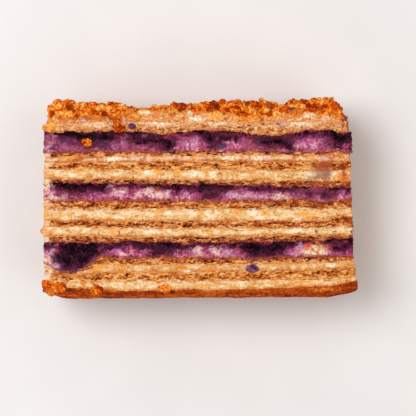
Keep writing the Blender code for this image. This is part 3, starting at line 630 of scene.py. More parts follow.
@dataclass(frozen=True)
class SliceForm:
    """The form of the whole slice: where its ends are and how its seams run."""

    left_bottom: float = -65.2
    left_top: float = -63.1
    left_lean_heights: Pair = (70.0, 78.0)
    right_bottom: float = 65.4
    right_top: float = 62.2
    end_flare: float = 1.0
    end_flare_fade: float = 8.0
    left_curl: float = 3.8
    left_curl_reach: float = 14.0
    left_curl_fade: float = 5.0
    right_curl: float = 2.6
    right_curl_reach: float = 15.0
    right_curl_fade: float = 16.0
    seam_wave: float = 0.2
    wave_lengths: tuple[float, ...] = (9.0, 17.0, 38.0)
    thinnest: float = 0.75
    thinnest_left: float = 0.6
    deep_berry_x: float = -55.0
    deep_berry_reach: float = 12.0
    deep_berry_sink: float = 6.4
    deep_berry_fade: float = 8.0
    deep_berry_height: float = 17.6
    left_round: float = 4.5
    left_drop: float = 2.4
    right_round: float = 8.0
    right_drop: float = 8.6
    corner_back: float = 1.6
    cream_drop: float = 2.4
    topping_edge: float = 1.2
    berry_share: float = 0.24
    berry_share_wave: float = 0.05
    berry_share_limits: Pair = (0.16, 0.88)
    hidden_berries: int = 9
    hidden_berry_share: Pair = (0.2, 0.6)
    hidden_berry_reach: Pair = (6.0, 14.0)
    hidden_berry_depth: float = 0.6
    least_cream: float = 0.7
    least_berries: float = 0.9
    most_crumbs: float = 1.0
    corner_reach: float = 3.0
    corner_heights: Pair = (71.5, 77.0)
    seam_grain: Pair = (0.55, 1.3)
    juice_grain: Pair = (0.75, 1.4)
    crumb_grain: Pair = (1.0, 2.2)
    berry_grain: Pair = (1.6, 2.4)

    def ends(self, height: float) -> Pair:
        """X of the left and the right end at a height."""
        start, stop = self.left_lean_heights
        lean = min(1.0, max(0.0, (height - start) / (stop - start)))
        flare = self.end_flare * max(0.0, 1 - height / self.end_flare_fade)
        left = self.left_bottom + (self.left_top - self.left_bottom) * lean
        right = self.right_bottom + (self.right_top - self.right_bottom) * height / HEIGHT
        return left - flare, right + flare

    def _wave(self, x: Array, z: Array, key: str) -> Array:
        """A gentle uneven wave between about -1 and 1, the same for the same key."""
        draw = random.Random(f"{SEED} {key}")
        total = np.zeros_like(x)
        for length in self.wave_lengths:
            turn = draw.uniform(-0.5, 0.5)
            phase = draw.uniform(0.0, 2 * math.pi)
            total = total + np.sin(2 * math.pi * (x + turn * z) / length + phase)
        return total / len(self.wave_lengths)

    def _curl(self, x: Array, height: float) -> Array:
        """How far the curled-up ends lift a seam."""
        near_left = ease((self.left_bottom + self.left_curl_reach - x) / self.left_curl_reach)
        near_right = ease((x - self.right_bottom + self.right_curl_reach) / self.right_curl_reach)
        left = self.left_curl * max(0.0, 1 - height / self.left_curl_fade)
        right = self.right_curl * max(0.0, 1 - height / self.right_curl_fade)
        return left * near_left + right * near_right

    def _sink(self, x: Array, z: Array, height: float) -> Array:
        """How far the large berry of the lower band presses a seam down."""
        if height > self.deep_berry_height:
            return np.zeros_like(x)
        weight = max(0.0, 1 - (self.deep_berry_height - height) / self.deep_berry_fade)
        front = hill(z - THICKNESS, THICKNESS / 2)
        return self.deep_berry_sink * weight * hill(x - self.deep_berry_x, self.deep_berry_reach) * front

    def _surface(self, key: str, seam: Seam, x: Array, z: Array) -> Array:
        """The height of a seam over the slice, without its fine grain."""
        left, right = self.ends(seam.middle)
        height = seam.through((x - left) / (right - left)) + self.seam_wave * self._wave(x, z, key)
        for bump in BUMPS.get(key, ()):
            height = height + bump.rise * hill(x - bump.x, bump.reach)
        return height + self._curl(x, seam.middle) - self._sink(x, z, seam.middle)

    def _share(self, band: str, x: Array, z: Array) -> Array:
        """The share of a band, from its top down, that the berries fill."""
        draw = random.Random(f"{SEED} band {band}")
        share = self.berry_share + self.berry_share_wave * self._wave(x, z, f"share {band}")
        front = hill(z - THICKNESS, THICKNESS / 2)
        for berry in BERRIES[band]:
            share = share + berry.share * hill(x - berry.x, berry.reach) * front
        reach_x, reach_z = self.hidden_berry_reach
        for _ in range(self.hidden_berries):
            place = draw.uniform(self.left_bottom, self.right_bottom)
            depth = draw.uniform(0.0, THICKNESS * self.hidden_berry_depth)
            near = hill(x - place, reach_x) * hill(z - depth, reach_z)
            share = share + draw.uniform(*self.hidden_berry_share) * near
        return np.clip(share, *self.berry_share_limits)

    def _round_off(self, x: Array, height: Array, left_drop: float, right_drop: float) -> Array:
        """A surface brought down at both ends."""
        left, right = self.ends(HEIGHT)
        near_left = ease((left + self.left_round - x) / self.left_round)
        near_right = ease((x - right + self.right_round) / self.right_round)
        return height - left_drop * near_left - right_drop * near_right

    def cut(self, along: Array, beside: Array, z: Array) -> dict[str, Line]:
        """Every seam of the slice over a set of places.

        Args:
            along: 0 at the left end to 1 at the right end, for each place.
            beside: A distance to add to each place's X.
            z: Each place's Z.

        Returns:
            X and Y of each seam, by the name of the layer under it, and "bottom" for the lowest.
        """

        def across(height: float) -> Array:
            """X of the places at a height."""
            left, right = self.ends(height)
            return left + along * (right - left) + beside

        def grain(key: str, x: Array, lumps: Pair) -> Array:
            """The unevenness of a seam, by the height and the width of its lumps."""
            size, width = lumps
            shift = random.Random(f"{SEED} grain {key}").uniform(0.0, 99.0)
            at = np.column_stack([x / width, np.full_like(x, shift), z / width])
            return size * (0.8 * ROUGH.layered(at) + 0.6 * ROUGH.grain(at / 4.5 + 8.0))

        def drawn_back(x: Array, y: Array) -> Array:
            """X of the places with the topping's right corner set back."""
            _, right = self.ends(HEIGHT)
            near = smooth(x, right - self.corner_reach, right)
            return x - self.corner_back * near * smooth(y, *self.corner_heights)

        x = across(0.0)
        below = self._surface("bottom", BOTTOM, x, z)
        seams = {"bottom": (x, below)}
        for layer in LAYERS:
            x = across(layer.top.middle)
            y = np.maximum(self._surface(layer.name, layer.top, x, z), below + self.thinnest)
            if layer.name == "cream_07":
                y = self._round_off(x, y, 0.0, self.cream_drop)
            if layer.kind is Kind.CRUMB:
                rounded = self._round_off(x, y, self.left_drop, self.right_drop)
                y = np.maximum(rounded, below + self.topping_edge)
            if layer.kind is Kind.BERRY_CREAM:
                band = layer.name.removeprefix("berry_cream_")
                middle = y - self._share(band, x, z) * (y - below)
                middle = middle + grain(layer.name, x, self.berry_grain)
                middle = np.clip(middle, below + self.least_cream, y - self.least_berries)
                seams[layer.name] = (x, middle)
                seams[f"berries_{band}"] = (x, y + grain(band, x, self.juice_grain))
            elif layer.kind is Kind.CRUMB:
                seams[layer.name] = (drawn_back(x, y), y)
            elif layer.name == "cream_07":
                raised = np.minimum(y + grain(layer.name, x, self.crumb_grain), y + self.most_crumbs)
                seams[layer.name] = (drawn_back(x, raised), raised)
            else:
                seams[layer.name] = (x, y + grain(layer.name, x, self.seam_grain))
            below = y
        keys = list(seams)
        for lower, upper in zip(keys, keys[1:]):
            x, y = seams[upper]
            seams[upper] = (x, np.maximum(y, seams[lower][1] + self.thinnest * self.thinnest_left))
        return seams

    def height(self, seam: str, x: float, z: float) -> float:
        """The height of a layer's top seam at a place."""
        layer = next(layer for layer in LAYERS if layer.name == seam)
        left, right = self.ends(layer.top.middle)
        along = np.array([(x - left) / (right - left)])
        return float(self.cut(along, np.zeros(1), np.array([z]))[seam][1][0])


@dataclass(frozen=True)
class Skin:
    """The columns of the skin round the slice: each one's Z, its way out, and every seam's X and Y."""

    z: Array
    out: Array
    seams: dict[str, Line]


@dataclass(frozen=True)
class Outline:
    """The columns of the skin around the slice, from the front left corner round by the right end."""

    front_pitch: float = 0.32
    end_pitch: float = 0.5
    back_pitch: float = 0.65
    corner: float = 0.8
    corner_steps: int = 4

    def skin(self) -> Skin:
        """Lays out the columns and works out where the seams cross them."""
        form = SliceForm()
        width = form.right_bottom - form.left_bottom
        rows: list[tuple[float, float, float, float, float]] = []

        def side(start: float, end: float, z: float, facing: float, pitch: float) -> None:
            """The columns along the front or the back."""
            for step in np.linspace(0, 1, round(width / pitch), endpoint=False)[1:]:
                along = start + (end - start) * step
                rows.append((along, self.corner * (1 - 2 * along), z, 0.0, facing))

        def end(along: float, start: float, stop: float, facing: float) -> None:
            """The columns down an end."""
            for step in np.linspace(0, 1, round(THICKNESS / self.end_pitch), endpoint=False)[1:]:
                rows.append((along, 0.0, start + (stop - start) * step, facing, 0.0))

        def turn(along: float, depth: float, first: float) -> None:
            """The columns round a corner, from an angle on."""
            middle = self.corner if along < 0.5 else -self.corner
            for step in range(self.corner_steps + 1):
                angle = math.radians(first + 90 * step / self.corner_steps)
                out_x, out_z = math.sin(angle), math.cos(angle)
                beside, z = middle + self.corner * out_x, depth + self.corner * out_z
                rows.append((along, beside, z, out_x, out_z))

        near, far = THICKNESS - self.corner, self.corner
        side(0.0, 1.0, THICKNESS, 1.0, self.front_pitch)
        turn(1.0, near, 0.0)
        end(1.0, near, far, 1.0)
        turn(1.0, far, 90.0)
        side(1.0, 0.0, 0.0, -1.0, self.back_pitch)
        turn(0.0, far, 180.0)
        end(0.0, far, near, -1.0)
        turn(0.0, near, 270.0)
        table = np.array(rows)
        out = np.column_stack([table[:, 3], np.zeros(len(rows)), table[:, 4]])
        return Skin(table[:, 2], out, form.cut(table[:, 0], table[:, 1], table[:, 2]))


# --- Relief of the cut faces ----------------------------------------


@dataclass(frozen=True)
class Surface:
    """The relief of a set of places: how far each stands out, how deep it lies in a pore or crevice, which
    sets the painted shade there (in berry cream, the raised pulp instead), and its own shade of colour.
    """

    out: Array
    # How strongly the finishes paint shade into each place's pore or crevice; for berry cream, how much
    # raised pulp lies there.
    pit: Array
    shade: Array


LEVELS = {
    Kind.CRUST: 0.0,
    Kind.SPONGE: -0.02,
    Kind.CREAM: 0.02,
    Kind.BERRY_CREAM: 0.05,
    Kind.BERRIES: 0.15,
    Kind.CRUMB: 0.25,
}


@dataclass(frozen=True)
class Relief:
    """How each kind of layer stands out from, or back into, its plain surface."""

    sponge_back: float = -0.05
    cream_out: float = 0.03
    berries_out: float = 0.2
    shared: float = 0.22
    shared_size: Triple = (2.2, 1.5, 2.2)
    end_wave: float = 0.8
    end_wave_size: Triple = (7.0, 4.5, 9.0)
    blend_reach: float = 0.8
    dent: float = 0.6

    def sponge(self, p: Array) -> Surface:
        """Crumbly sponge with open pores that lie along the layer."""
        away, chance = ROUGH.cells(p / (1.5, 0.85, 1.4))
        pore = smooth(away, 0.55, 0.2) * smooth(chance, 0.6, 0.72)
        small, own = ROUGH.cells(p / (0.75, 0.6, 0.75) + 31.0)
        pore = np.maximum(pore, 0.7 * smooth(small, 0.5, 0.2) * smooth(own, 0.6, 0.7))
        grain = ROUGH.layered(p / 1.1)
        pit = np.clip(pore + 0.25 * smooth(grain, -0.2, -0.8), 0, 1)
        return Surface(self.sponge_back + 0.18 * grain - 0.45 * pore, pit, own)

    def cream(self, p: Array) -> Surface:
        """Soft cream, drawn out along the layer by the knife, with a few small holes."""
        smear = ROUGH.layered(p / (8.0, 1.3, 8.0))
        soft = ROUGH.layered(p / 2.2, 3)
        away, chance = ROUGH.cells(p / 1.6 + 11.0)
        hole = smooth(away, 0.32, 0.12) * smooth(chance, 0.66, 0.76)
        return Surface(self.cream_out + 0.12 * smear + 0.1 * soft - 0.4 * hole, hole, chance)

    def berries(self, p: Array) -> Surface:
        """Cooked berries: soft lumps with a fine wet grain."""
        lump, own = ROUGH.cells(p / (4.2, 3.4, 4.2) + 5.0)
        bead, small = ROUGH.cells(p / (1.1, 0.95, 1.1))
        grain = ROUGH.layered(p / 0.8, 2)
        out = self.berries_out + 0.5 * (0.5 - lump) + 0.4 * (0.45 - bead) + 0.15 * grain
        pit = np.clip(smooth(lump, 0.5, 0.8) * 0.7 + smooth(bead, 0.42, 0.75) * 0.8, 0, 1)
        return Surface(out, pit, 0.5 * own + 0.5 * small)

    def berry_cream(self, p: Array) -> Surface:
        """Cream with berry juice and pulp drawn through it."""
        soft = ROUGH.layered(p / (2.2, 1.8, 2.2))
        bead, own = ROUGH.cells(p / (1.2, 1.5, 1.2) + 3.0)
        pulp = smooth(bead, 0.5, 0.2) * smooth(own, 0.55, 0.7)
        return Surface(0.08 + 0.14 * soft + 0.14 * pulp, pulp, own)

    def crumb(self, p: Array) -> Surface:
        """Packed crumbs."""
        lump, own = ROUGH.cells(p / 3.0 + 7.0 + 0.3 * ROUGH.grain(p / 1.5)[:, None])
        bead, small = ROUGH.cells(p / 1.2 + 2.0)
        grain = ROUGH.layered(p / 1.3)
        out = 1.7 * (0.5 - lump) + 0.25 * (0.5 - bead) + 0.6 * grain
        pit = np.clip(smooth(lump, 0.5, 0.85) * 0.8 + smooth(bead, 0.6, 0.9) * 0.25, 0, 1)
        return Surface(out, pit, 0.75 * own + 0.25 * small)

    def crust(self, p: Array) -> Surface:
        """Firm baked crust with a fine crazed surface."""
        away, own = ROUGH.cells(p / (1.5, 0.9, 1.5) + 19.0)
        pore = smooth(away, 0.4, 0.15) * smooth(own, 0.55, 0.65)
        grain = ROUGH.layered(p / 1.4)
        return Surface(0.05 + 0.2 * grain - 0.35 * pore, pore, own)

    def of(self, kind: Kind, points: Array) -> Surface:
        """The relief of one kind of layer, at one place per row."""
        return getattr(self, kind.value)(points)


# --- Pieces ---------------------------------------------------------


def rgb(code: str) -> tuple[float, ...]:
    """The linear colour of a hex code."""
    parts = (int(code[n : n + 2], 16) / 255 for n in (1, 3, 5))
    linear = [c / 12.92 if c <= 0.04045 else ((c + 0.055) / 1.055) ** 2.4 for c in parts]
    return linear[0], linear[1], linear[2], 1.0


def put_in_scene(name: str, data: bpy.types.ID) -> bpy.types.Object:
    """An object for a mesh, a light or a camera, in the scene."""
    made = bpy.data.objects.new(name, data)
    bpy.context.scene.collection.objects.link(made)
    return made


def show(name: str, mesh: bpy.types.Mesh, notes: dict[str, Array]) -> bpy.types.Object:
    """Puts a mesh in the scene as a piece that rides on the slice.

    Args:
        name: The piece's name.
        mesh: Its mesh.
        notes: A number, or a colour, for each corner, by the name that the finishes read it by.

    Returns:
        The piece.
    """
    for key, values in notes.items():
        colour = values.ndim == 2
        stored = mesh.attributes.new(key, "FLOAT_COLOR" if colour else "FLOAT", "POINT")
        stored.data.foreach_set("color" if colour else "value", values.astype(np.float32).ravel())
    piece = put_in_scene(name, mesh)
    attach(piece, "root")
    LOG.info("%s: %d faces", name, len(mesh.polygons))
    return piece


def new_piece(
    name: str, points: Array, faces: list[Any], finish: Finish, notes: dict[str, Array]
) -> bpy.types.Object:
    """A smooth shaded piece.

    Args:
        name: The piece's name.
        points: Its corners in millimetres, one per row.
        faces: The corners of each face, anticlockwise from outside.
        finish: Its finish.
        notes: A number, or a colour, for each corner, by name.

    Returns:
        The piece, in the scene.
    """
    mesh = bpy.data.meshes.new(name)
    mesh.from_pydata(((points + ORIGIN) * MM).tolist(), [], faces)
    mesh.polygons.foreach_set("use_smooth", [True] * len(mesh.polygons))
    mesh.update()
    mesh.materials.append(finish.material())
    return show(name, mesh, notes)


def stain_colours(layer: str, points: Array) -> tuple[Array, Array]:
    """The stains on a layer.

    Args:
        layer: The layer's name.
        points: One place per row.

    Returns:
        A colour for each place, whose alpha is how strongly it shows, and how far each is dented.
    """
    colour = np.zeros((len(points), 4))
    dent = np.zeros(len(points))
    fade = hill(points[:, 2] - THICKNESS, STAIN_DEPTH)
    wild = 0.8 if "berr" in layer else 0.4
    shifts = (20.0, 50.0)
    warp = [ROUGH.grain(points / 4.0 + shift) + ROUGH.layered(points / 1.5 + shift) for shift in shifts]
    warped = points[:, :2] + wild * np.column_stack(warp)
    ragged = 0.6 * ROUGH.layered(points / 1.1 + 130.0)
    for stain in (stain for stain in STAINS if stain.layers in layer):
        turn = math.radians(stain.turn)
        dx, dy = warped[:, 0] - stain.x, warped[:, 1] - stain.y
        across = (dx * math.cos(turn) + dy * math.sin(turn)) / stain.across
        high = (dy * math.cos(turn) - dx * math.sin(turn)) / stain.high
        edge = CRISP_EDGE if stain.tint is Tint.INK else SOFT_EDGE
        weight = smooth(np.hypot(across, high) + ragged, *edge) * fade * stain.strength
        blend(colour, stain.tint, weight, weight + colour[:, 3] * (1 - weight))
        if stain.tint in DENTED:
            dent = np.maximum(dent, weight)
    return colour, dent


def blend(colour: Array, tint: Tint, weight: Array, total: Array) -> None:
    """Adds a tint to a set of stain colours.

    Args:
        colour: The colours, which change.
        tint: What is added.
        weight: How much of it each place gets.
        total: How strongly each place's colour then shows.
    """
    share = (weight / np.maximum(total, 1e-6))[:, None]
    colour[:, :3] += (np.array(rgb(tint.value)[:3]) - colour[:, :3]) * share
    colour[:, 3] = total


def near_cut(z: Array, fade: float, full: float) -> Array:
    """1 down to a depth under the cut face, and 0 from a larger depth on."""
    return smooth(z, THICKNESS - fade, THICKNESS - full)


def seep(colour: Array, tint: Tint, weight: Array) -> None:
    """Adds a stain to a set of stain colours, under what is there."""
    free = weight * (1 - colour[:, 3])
    blend(colour, tint, free, colour[:, 3] + free)


# Where smears and crumbs start and are full at the left end, and honey at the topping's right corner.
SMEARED_END = (-61.6, -64.0)
CRUMBED_END = (-59.0, -62.5)
CORNER_X = (59.5, 62.0)
CORNER_Y = (80.5, 78.0)
# Where crumbs hang lower over the cream under the topping.
CRUMBED_CREAM = Bump(22.0, 0.8, 14.0)
# X and Y of the middle of each patch of crumbs on the cut face, and half its width and height.
CRUMB_PILES = ((-61.5, 5.6, 4.6, 3.4), (-42.7, 4.6, 3.4, 2.8), (-14.6, 4.6, 2.2, 1.8))


@dataclass(frozen=True)
class Corners:
    """A layer's corners before its relief: its sides row by row, then its lower and its upper face."""

    points: Array
    ways: Array
    from_low: Array
    from_high: Array
    sides: slice
    ends: tuple[slice, slice]


@dataclass
class LayerPiece:
    """One layer of the slice: a skin round its sides, closed by a surface below and one above."""

    name: str
    kind: Kind
    lower: str
    upper: str
    under: Kind | None = None
    over: Kind | None = None
    form: SliceForm = field(default_factory=SliceForm)
    relief: Relief = field(default_factory=Relief)
    row_pitch: float = 0.3
    fewest_rows: int = 4
    hidden_pitch: float = 4.0
    shown_pitch: float = 0.45
    hidden_gap: float = 0.1
    uneven: float = 0.2
    rim_row: float = 0.03
    rim_lean: float = 1.3
    rim_round: float = 1.1
    spill: float = 1.0
    spill_reach: float = 2.5
    spill_beyond: float = 1.0
    spill_facing: float = 0.3
    slope_columns: int = 5
    corner_calm: float = 0.35
    corner_calm_reach: float = 4.0
    crumbs_from: Pair = (2.0, 3.5)

    @property
    def shown(self) -> tuple[bool, bool]:
        """Whether the lower and the upper face can be seen."""
        return self.under is None, self.over is None

    def _level(self, beside: Kind | None) -> float:
        """How far a seam stands out, halfway between this layer and the one beside it."""
        return (LEVELS[self.kind] + LEVELS[beside or self.kind]) / 2

    def _rounding(self, distance: Array) -> Array:
        """How far a rounded rim is drawn in, at a distance from it."""
        k = np.clip(1 - distance / self.rim_round, 0.0, 1.0)
        return self.rim_round * (1 - np.sqrt(1 - k * k))

    def _face(self, seam: str, shown: bool, up: int) -> tuple[Array, Array]:
        """Evenly scattered places on a seam, inside the outline.

        Args:
            seam: The seam's name.
            shown: Whether the face can be seen, and so needs fine relief.
            up: 1 for a face that looks along +Y, -1 for one that looks along -Y.

        Returns:
            Their points, and the way out at each, which leans towards the nearest side at the rim.
        """
        width = self.form.right_bottom - self.form.left_bottom
        pitch = self.shown_pitch if shown else self.hidden_pitch
        across, deep = round(width / pitch), round(THICKNESS / pitch)
        middles = ((np.arange(count) + 0.5) / count for count in (across, deep))
        along, z = np.meshgrid(*middles, indexing="ij")
        draw = np.random.default_rng(SEED)
        along = (along + draw.uniform(-self.uneven, self.uneven, along.shape) / across).ravel()
        z = (z + draw.uniform(-self.uneven, self.uneven, z.shape) / deep).ravel() * THICKNESS
        x, y = self.form.cut(along, np.zeros_like(z), z)[seam]
        right, left, front = (
            hill(away, self.rim_lean) for away in ((1 - along) * width, along * width, THICKNESS - z)
        )
        return np.column_stack([x, y, z]), np.column_stack([right - left, np.full_like(z, up), front])

    def _close(self, rim: Array, first_rim: int, inside: Array, first: int, up: int) -> list[Any]:
        """Triangles that close a rim over the places inside it.

        Args:
            rim: The points of the rim.
            first_rim: The index of the first of them.
            inside: The points inside.
            first: The index of the first of them.
            up: 1 for a surface that looks along +Y, -1 for one that looks along -Y.

        Returns:
            The corners of each triangle.
        """
        count = len(rim)
        places = [Vector(place) for place in np.vstack([rim, inside])[:, [0, 2]].tolist()]
        around = [(n, (n + 1) % count) for n in range(count)]
        joined = delaunay_2d_cdt(places, around, [], 1, 1e-6)
        known = [sources[0] if sources else -1 for sources in joined[3]]
        made = []
        for a, b, c in joined[2]:
            corners = [known[n] for n in ((a, c, b) if up > 0 else (a, b, c))]
            if min(corners) >= 0:
                made.append([first_rim + n if n < count else first + n - count for n in corners])
        return made

    def _lay_out(self, skin: Skin) -> tuple[Corners, list[Any]]:
        """Sets out the layer's corners and the faces that join them.

        Args:
            skin: The columns round the slice.

        Returns:
            The corners, and the corners of each face.
        """
        (low_x, low_y), (high_x, high_y) = skin.seams[self.lower], skin.seams[self.upper]
        rows = max(self.fewest_rows, round(float(np.mean(high_y - low_y)) / self.row_pitch))
        t = np.linspace(0.0, 1.0, rows + 1)[:, None] * np.ones_like(low_y)
        rim = self.rim_row / (high_y - low_y)
        t = np.vstack([t[:1], rim[None], t[1:-1], 1 - rim[None], t[-1:]])
        x = low_x + t * (high_x - low_x)
        y = low_y + t * (high_y - low_y)
        points = np.stack([x, y, np.broadcast_to(skin.z, x.shape)], axis=2)
        ways = np.broadcast_to(skin.out, points.shape).copy()
        index = np.arange(x.size).reshape(x.shape)
        ahead = np.roll(index, -1, axis=1)
        faces = np.stack([index[:-1], ahead[:-1], ahead[1:], index[1:]], axis=2).reshape(-1, 4).tolist()
        caps = []
        for seam, shown, away, up in zip(
            (self.lower, self.upper), self.shown, (y - low_y, high_y - y), (-1, 1)
        ):
            if shown:
                ways[..., 1] += up * hill(away, self.rim_lean)
                points -= skin.out * self._rounding(away)[..., None]
            caps.append(self._face(seam, shown, up))
        (low_cap, low_ways), (high_cap, high_ways) = caps
        low, high = len(low_cap), len(high_cap)
        faces += self._close(points[0], 0, low_cap, x.size, -1)
        faces += self._close(points[-1], int(index[-1, 0]), high_cap, x.size + low, 1)
        ways = np.vstack([ways.reshape(-1, 3), low_ways, high_ways])
        corners = Corners(
            points=np.vstack([points.reshape(-1, 3), low_cap, high_cap]),
            ways=ways / np.linalg.norm(ways, axis=1, keepdims=True),
            from_low=np.concatenate([(y - low_y).ravel(), np.zeros(low), np.full(high, FAR)]),
            from_high=np.concatenate([(high_y - y).ravel(), np.full(low, FAR), np.zeros(high)]),
            sides=slice(0, x.size),
            ends=(slice(x.size, x.size + low), slice(x.size + low, None)),
        )
        return corners, faces

    def _push(self, corners: Corners, surface: Surface, dent: Array) -> Array:
        """How far each corner moves out; at a seam that is what the next layer does too.

        Args:
            corners: The layer's corners.
            surface: Their relief.
            dent: How far each is dented by a stain.

        Returns:
            The distance for each corner.
        """
        points, relief = corners.points, self.relief
        low, high = (
            np.full_like(away, FAR) if shown else away
            for shown, away in zip(self.shown, (corners.from_low, corners.from_high))
        )
        level = np.where(low < high, self._level(self.under), self._level(self.over))
        push = surface.out - relief.dent * dent
        push = level + (push - level) * smooth(np.minimum(low, high), 0.0, relief.blend_reach)
        push += relief.shared * ROUGH.layered(points / relief.shared_size + 77.0)
        wave = ROUGH.layered(points / relief.end_wave_size + 15.0, 2)
        push += relief.end_wave * wave * np.abs(corners.ways[:, 0])
        if self.name.endswith("_upper"):
            spill = hill(points[:, 0] - self.form.right_top - self.spill_beyond, self.spill_reach)
            push += self.spill * spill * (corners.ways[:, 0] > self.spill_facing)
        for end, shown in zip(corners.ends, self.shown):
            push[end] = surface.out[end] if shown else -self.hidden_gap
        return push

    def _juice(self, corners: Corners, skin: Skin) -> Array:
        """The distance of each corner from the berries, square to their seam and less than 0 below."""
        below = self.kind is Kind.BERRY_CREAM
        x, y = skin.seams[self.upper if below else self.lower]
        step = self.slope_columns
        rise, run = (np.roll(line, -step) - np.roll(line, step) for line in (y, x))
        square = np.ones(len(corners.points))
        rows = corners.sides.stop // len(x)
        square[corners.sides] = np.tile(1 / np.hypot(1.0, rise / (0.5 + np.abs(run))), rows)
        return square * (-corners.from_high if below else corners.from_low)

    def _partner(self, corners: Corners) -> Array:
        """The distance to the nearest seam where sponge and cream meet, far where there is none."""
        away = np.full_like(corners.from_low, FAR)
        for beside, distance in ((self.under, corners.from_low), (self.over, corners.from_high)):
            if {self.kind, beside} == {Kind.SPONGE, Kind.CREAM}:
                away = np.minimum(away, distance)
        return away

    def build(self, skin: Skin) -> bpy.types.Object:
        """Builds the layer.

        Args:
            skin: The columns round the slice.

        Returns:
            The piece, which stands for its node.
        """
        corners, faces = self._lay_out(skin)
        points = corners.points
        surface = self.relief.of(self.kind, points)
        if self.kind is Kind.CRUMB:
            lively = smooth(self.form.right_top - points[:, 0], 0.0, self.corner_calm_reach)
            surface.out[:] *= self.corner_calm + (1 - self.corner_calm) * lively
        colour, dent = stain_colours(self.name, points)
        moved = points + corners.ways * self._push(corners, surface, dent)[:, None]
        moved[:, 2] = np.maximum(moved[:, 2], 0.0)
        self._seep(colour, corners)
        crumbs = self.crumbs(points, corners.from_high) * smooth(points[:, 2], *self.crumbs_from)
        for end, shown in zip(corners.ends, self.shown):
            crumbs[end] *= shown
        notes = {
            # Painted shade for the pores and crevices; in berry cream, the raised pulp.
            "pit": surface.pit,
            "shade": surface.shade,
            "low": corners.from_low,
            "high": corners.from_high,
            "partner": self._partner(corners),
            "juice": self._juice(corners, skin),
            "stain": colour,
            "crumbs": crumbs,
        }
        finish = OWN_FINISHES.get(self.name, FINISHES[self.kind])
        piece = new_piece(self.name + "_piece", moved, faces, finish, notes)
        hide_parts(self.name)
        return piece

    def _seep(self, colour: Array, corners: Corners) -> None:
        """Stains the layer with juice where it touches a band, and with honey where crumbs lie thick."""
        (x, y, z), low, high = corners.points.T, corners.from_low, corners.from_high
        ragged = 0.8 * ROUGH.layered(corners.points / 1.2 + 70.0)
        if self.kind is Kind.SPONGE and self.name != "sponge_09":
            smeared = smooth(x + 1.6 * ragged, *SMEARED_END) * near_cut(z, 5.0, 1.5)
            seep(colour, Tint.CREAM, 0.8 * smeared)
        for beside, distance in ((self.under, low), (self.over, high)):
            if beside in (Kind.BERRIES, Kind.BERRY_CREAM) and self.kind is Kind.SPONGE:
                seep(colour, Tint.SOAKED, 0.75 * smooth(distance + 1.6 * ragged, 0.5, -0.4))
                seep(colour, Tint.BRICK, 0.5 * smooth(distance + 1.3 * ragged, 1.3, 0.0))
        if self.name == "sponge_09":
            seep(colour, Tint.PEACH, 0.5 * smooth(high + 2.0 * ragged, 2.2, 0.0))
            seep(colour, Tint.HONEY, 0.5 * smooth(low + 1.6 * ragged, 1.6, 0.2))
        if self.kind is Kind.CRUMB:
            corner = smooth(x + 1.2 * ragged, *CORNER_X) * smooth(y + 1.2 * ragged, *CORNER_Y)
            seep(colour, Tint.PEACH, 0.85 * corner * near_cut(z, 4.0, 1.0))
        if self.name == "cream_07":
            seep(colour, Tint.AMBER, 0.6 * smooth(self.crumbs(corners.points, high), 0.1, 0.6))
            seep(colour, Tint.PEACH, 0.5 * smooth(low + 2.0 * ragged, 2.2, 0.0))

    def crumbs(self, points: Array, from_high: Array) -> Array:
        """How thickly loose crumbs lie at each place.

        Args:
            points: One place per row.
            from_high: The distance of each from the seam above.

        Returns:
            0 for none, and 1 for as many as lie on the topping.
        """
        x, y, z = points.T
        ragged = ROUGH.layered(points / 3.0 + 90.0)
        if self.kind is Kind.CRUMB:
            return np.ones(len(points))
        if self.name == "cream_07":
            reach = 1.3 + CRUMBED_CREAM.rise * hill(x - CRUMBED_CREAM.x, CRUMBED_CREAM.reach)
            return 0.8 * smooth(from_high / reach + 0.6 * ragged, 1.1, 0.4)
        if self.name == "sponge_09":
            return 0.6 * smooth(x + 2 * ragged, *CRUMBED_END)
        thick = np.zeros(len(points))
        for middle_x, middle_y, across, high in CRUMB_PILES:
            away = np.hypot((x - middle_x) / across, (y - middle_y) / high)
            thick = np.maximum(thick, 1.7 * smooth(away + 0.3 * ragged, 1.0, 0.6))
        return thick * near_cut(z, 6.0, 1.0)


# --- Nodes ----------------------------------------------------------


class Num:
    """A socket of a node tree; one that carries a number takes arithmetic."""

    def __init__(self, graph: Graph, socket: bpy.types.NodeSocket) -> None:
        """Wraps a socket."""
        self.graph = graph
        self.socket = socket

    def _math(self, operation: str, *values: Any) -> Num:
        """One Math node."""
        return self.graph.value("ShaderNodeMath", {"operation": operation}, dict(enumerate(values)))

    def __add__(self, other: Any) -> Num:
        """Sum."""
        return self._math("ADD", self, other)

    def __radd__(self, other: Any) -> Num:
        """Sum, reflected."""
        return self._math("ADD", other, self)

    def __sub__(self, other: Any) -> Num:
        """Difference."""
        return self._math("SUBTRACT", self, other)

    def __rsub__(self, other: Any) -> Num:
        """Difference, reflected."""
        return self._math("SUBTRACT", other, self)

    def __mul__(self, other: Any) -> Num:
        """Product."""
        return self._math("MULTIPLY", self, other)

    def __rmul__(self, other: Any) -> Num:
        """Product, reflected."""
        return self._math("MULTIPLY", other, self)

    def times_plus(self, factor: Any, addend: Any) -> Num:
        """Product with a factor, and the sum of that and an addend."""
        return self._math("MULTIPLY_ADD", self, factor, addend)

    def power(self, other: Any) -> Num:
        """Power."""
        return self._math("POWER", self, other)

    def least(self, other: Any) -> Num:
        """The smaller of two."""
        return self._math("MINIMUM", self, other)

    def most(self, other: Any) -> Num:
        """The larger of two."""
        return self._math("MAXIMUM", self, other)

    def step(self, low: float, high: float) -> Num:
        """A smooth step from 0 at low to 1 at high; low may be the larger."""
        settings = {"interpolation_type": "SMOOTHSTEP", "clamp": True}
        inputs = {"Value": self, "From Min": min(low, high), "From Max": max(low, high)}
        made = self.graph.value("ShaderNodeMapRange", settings, inputs)
        return 1 - made if low > high else made


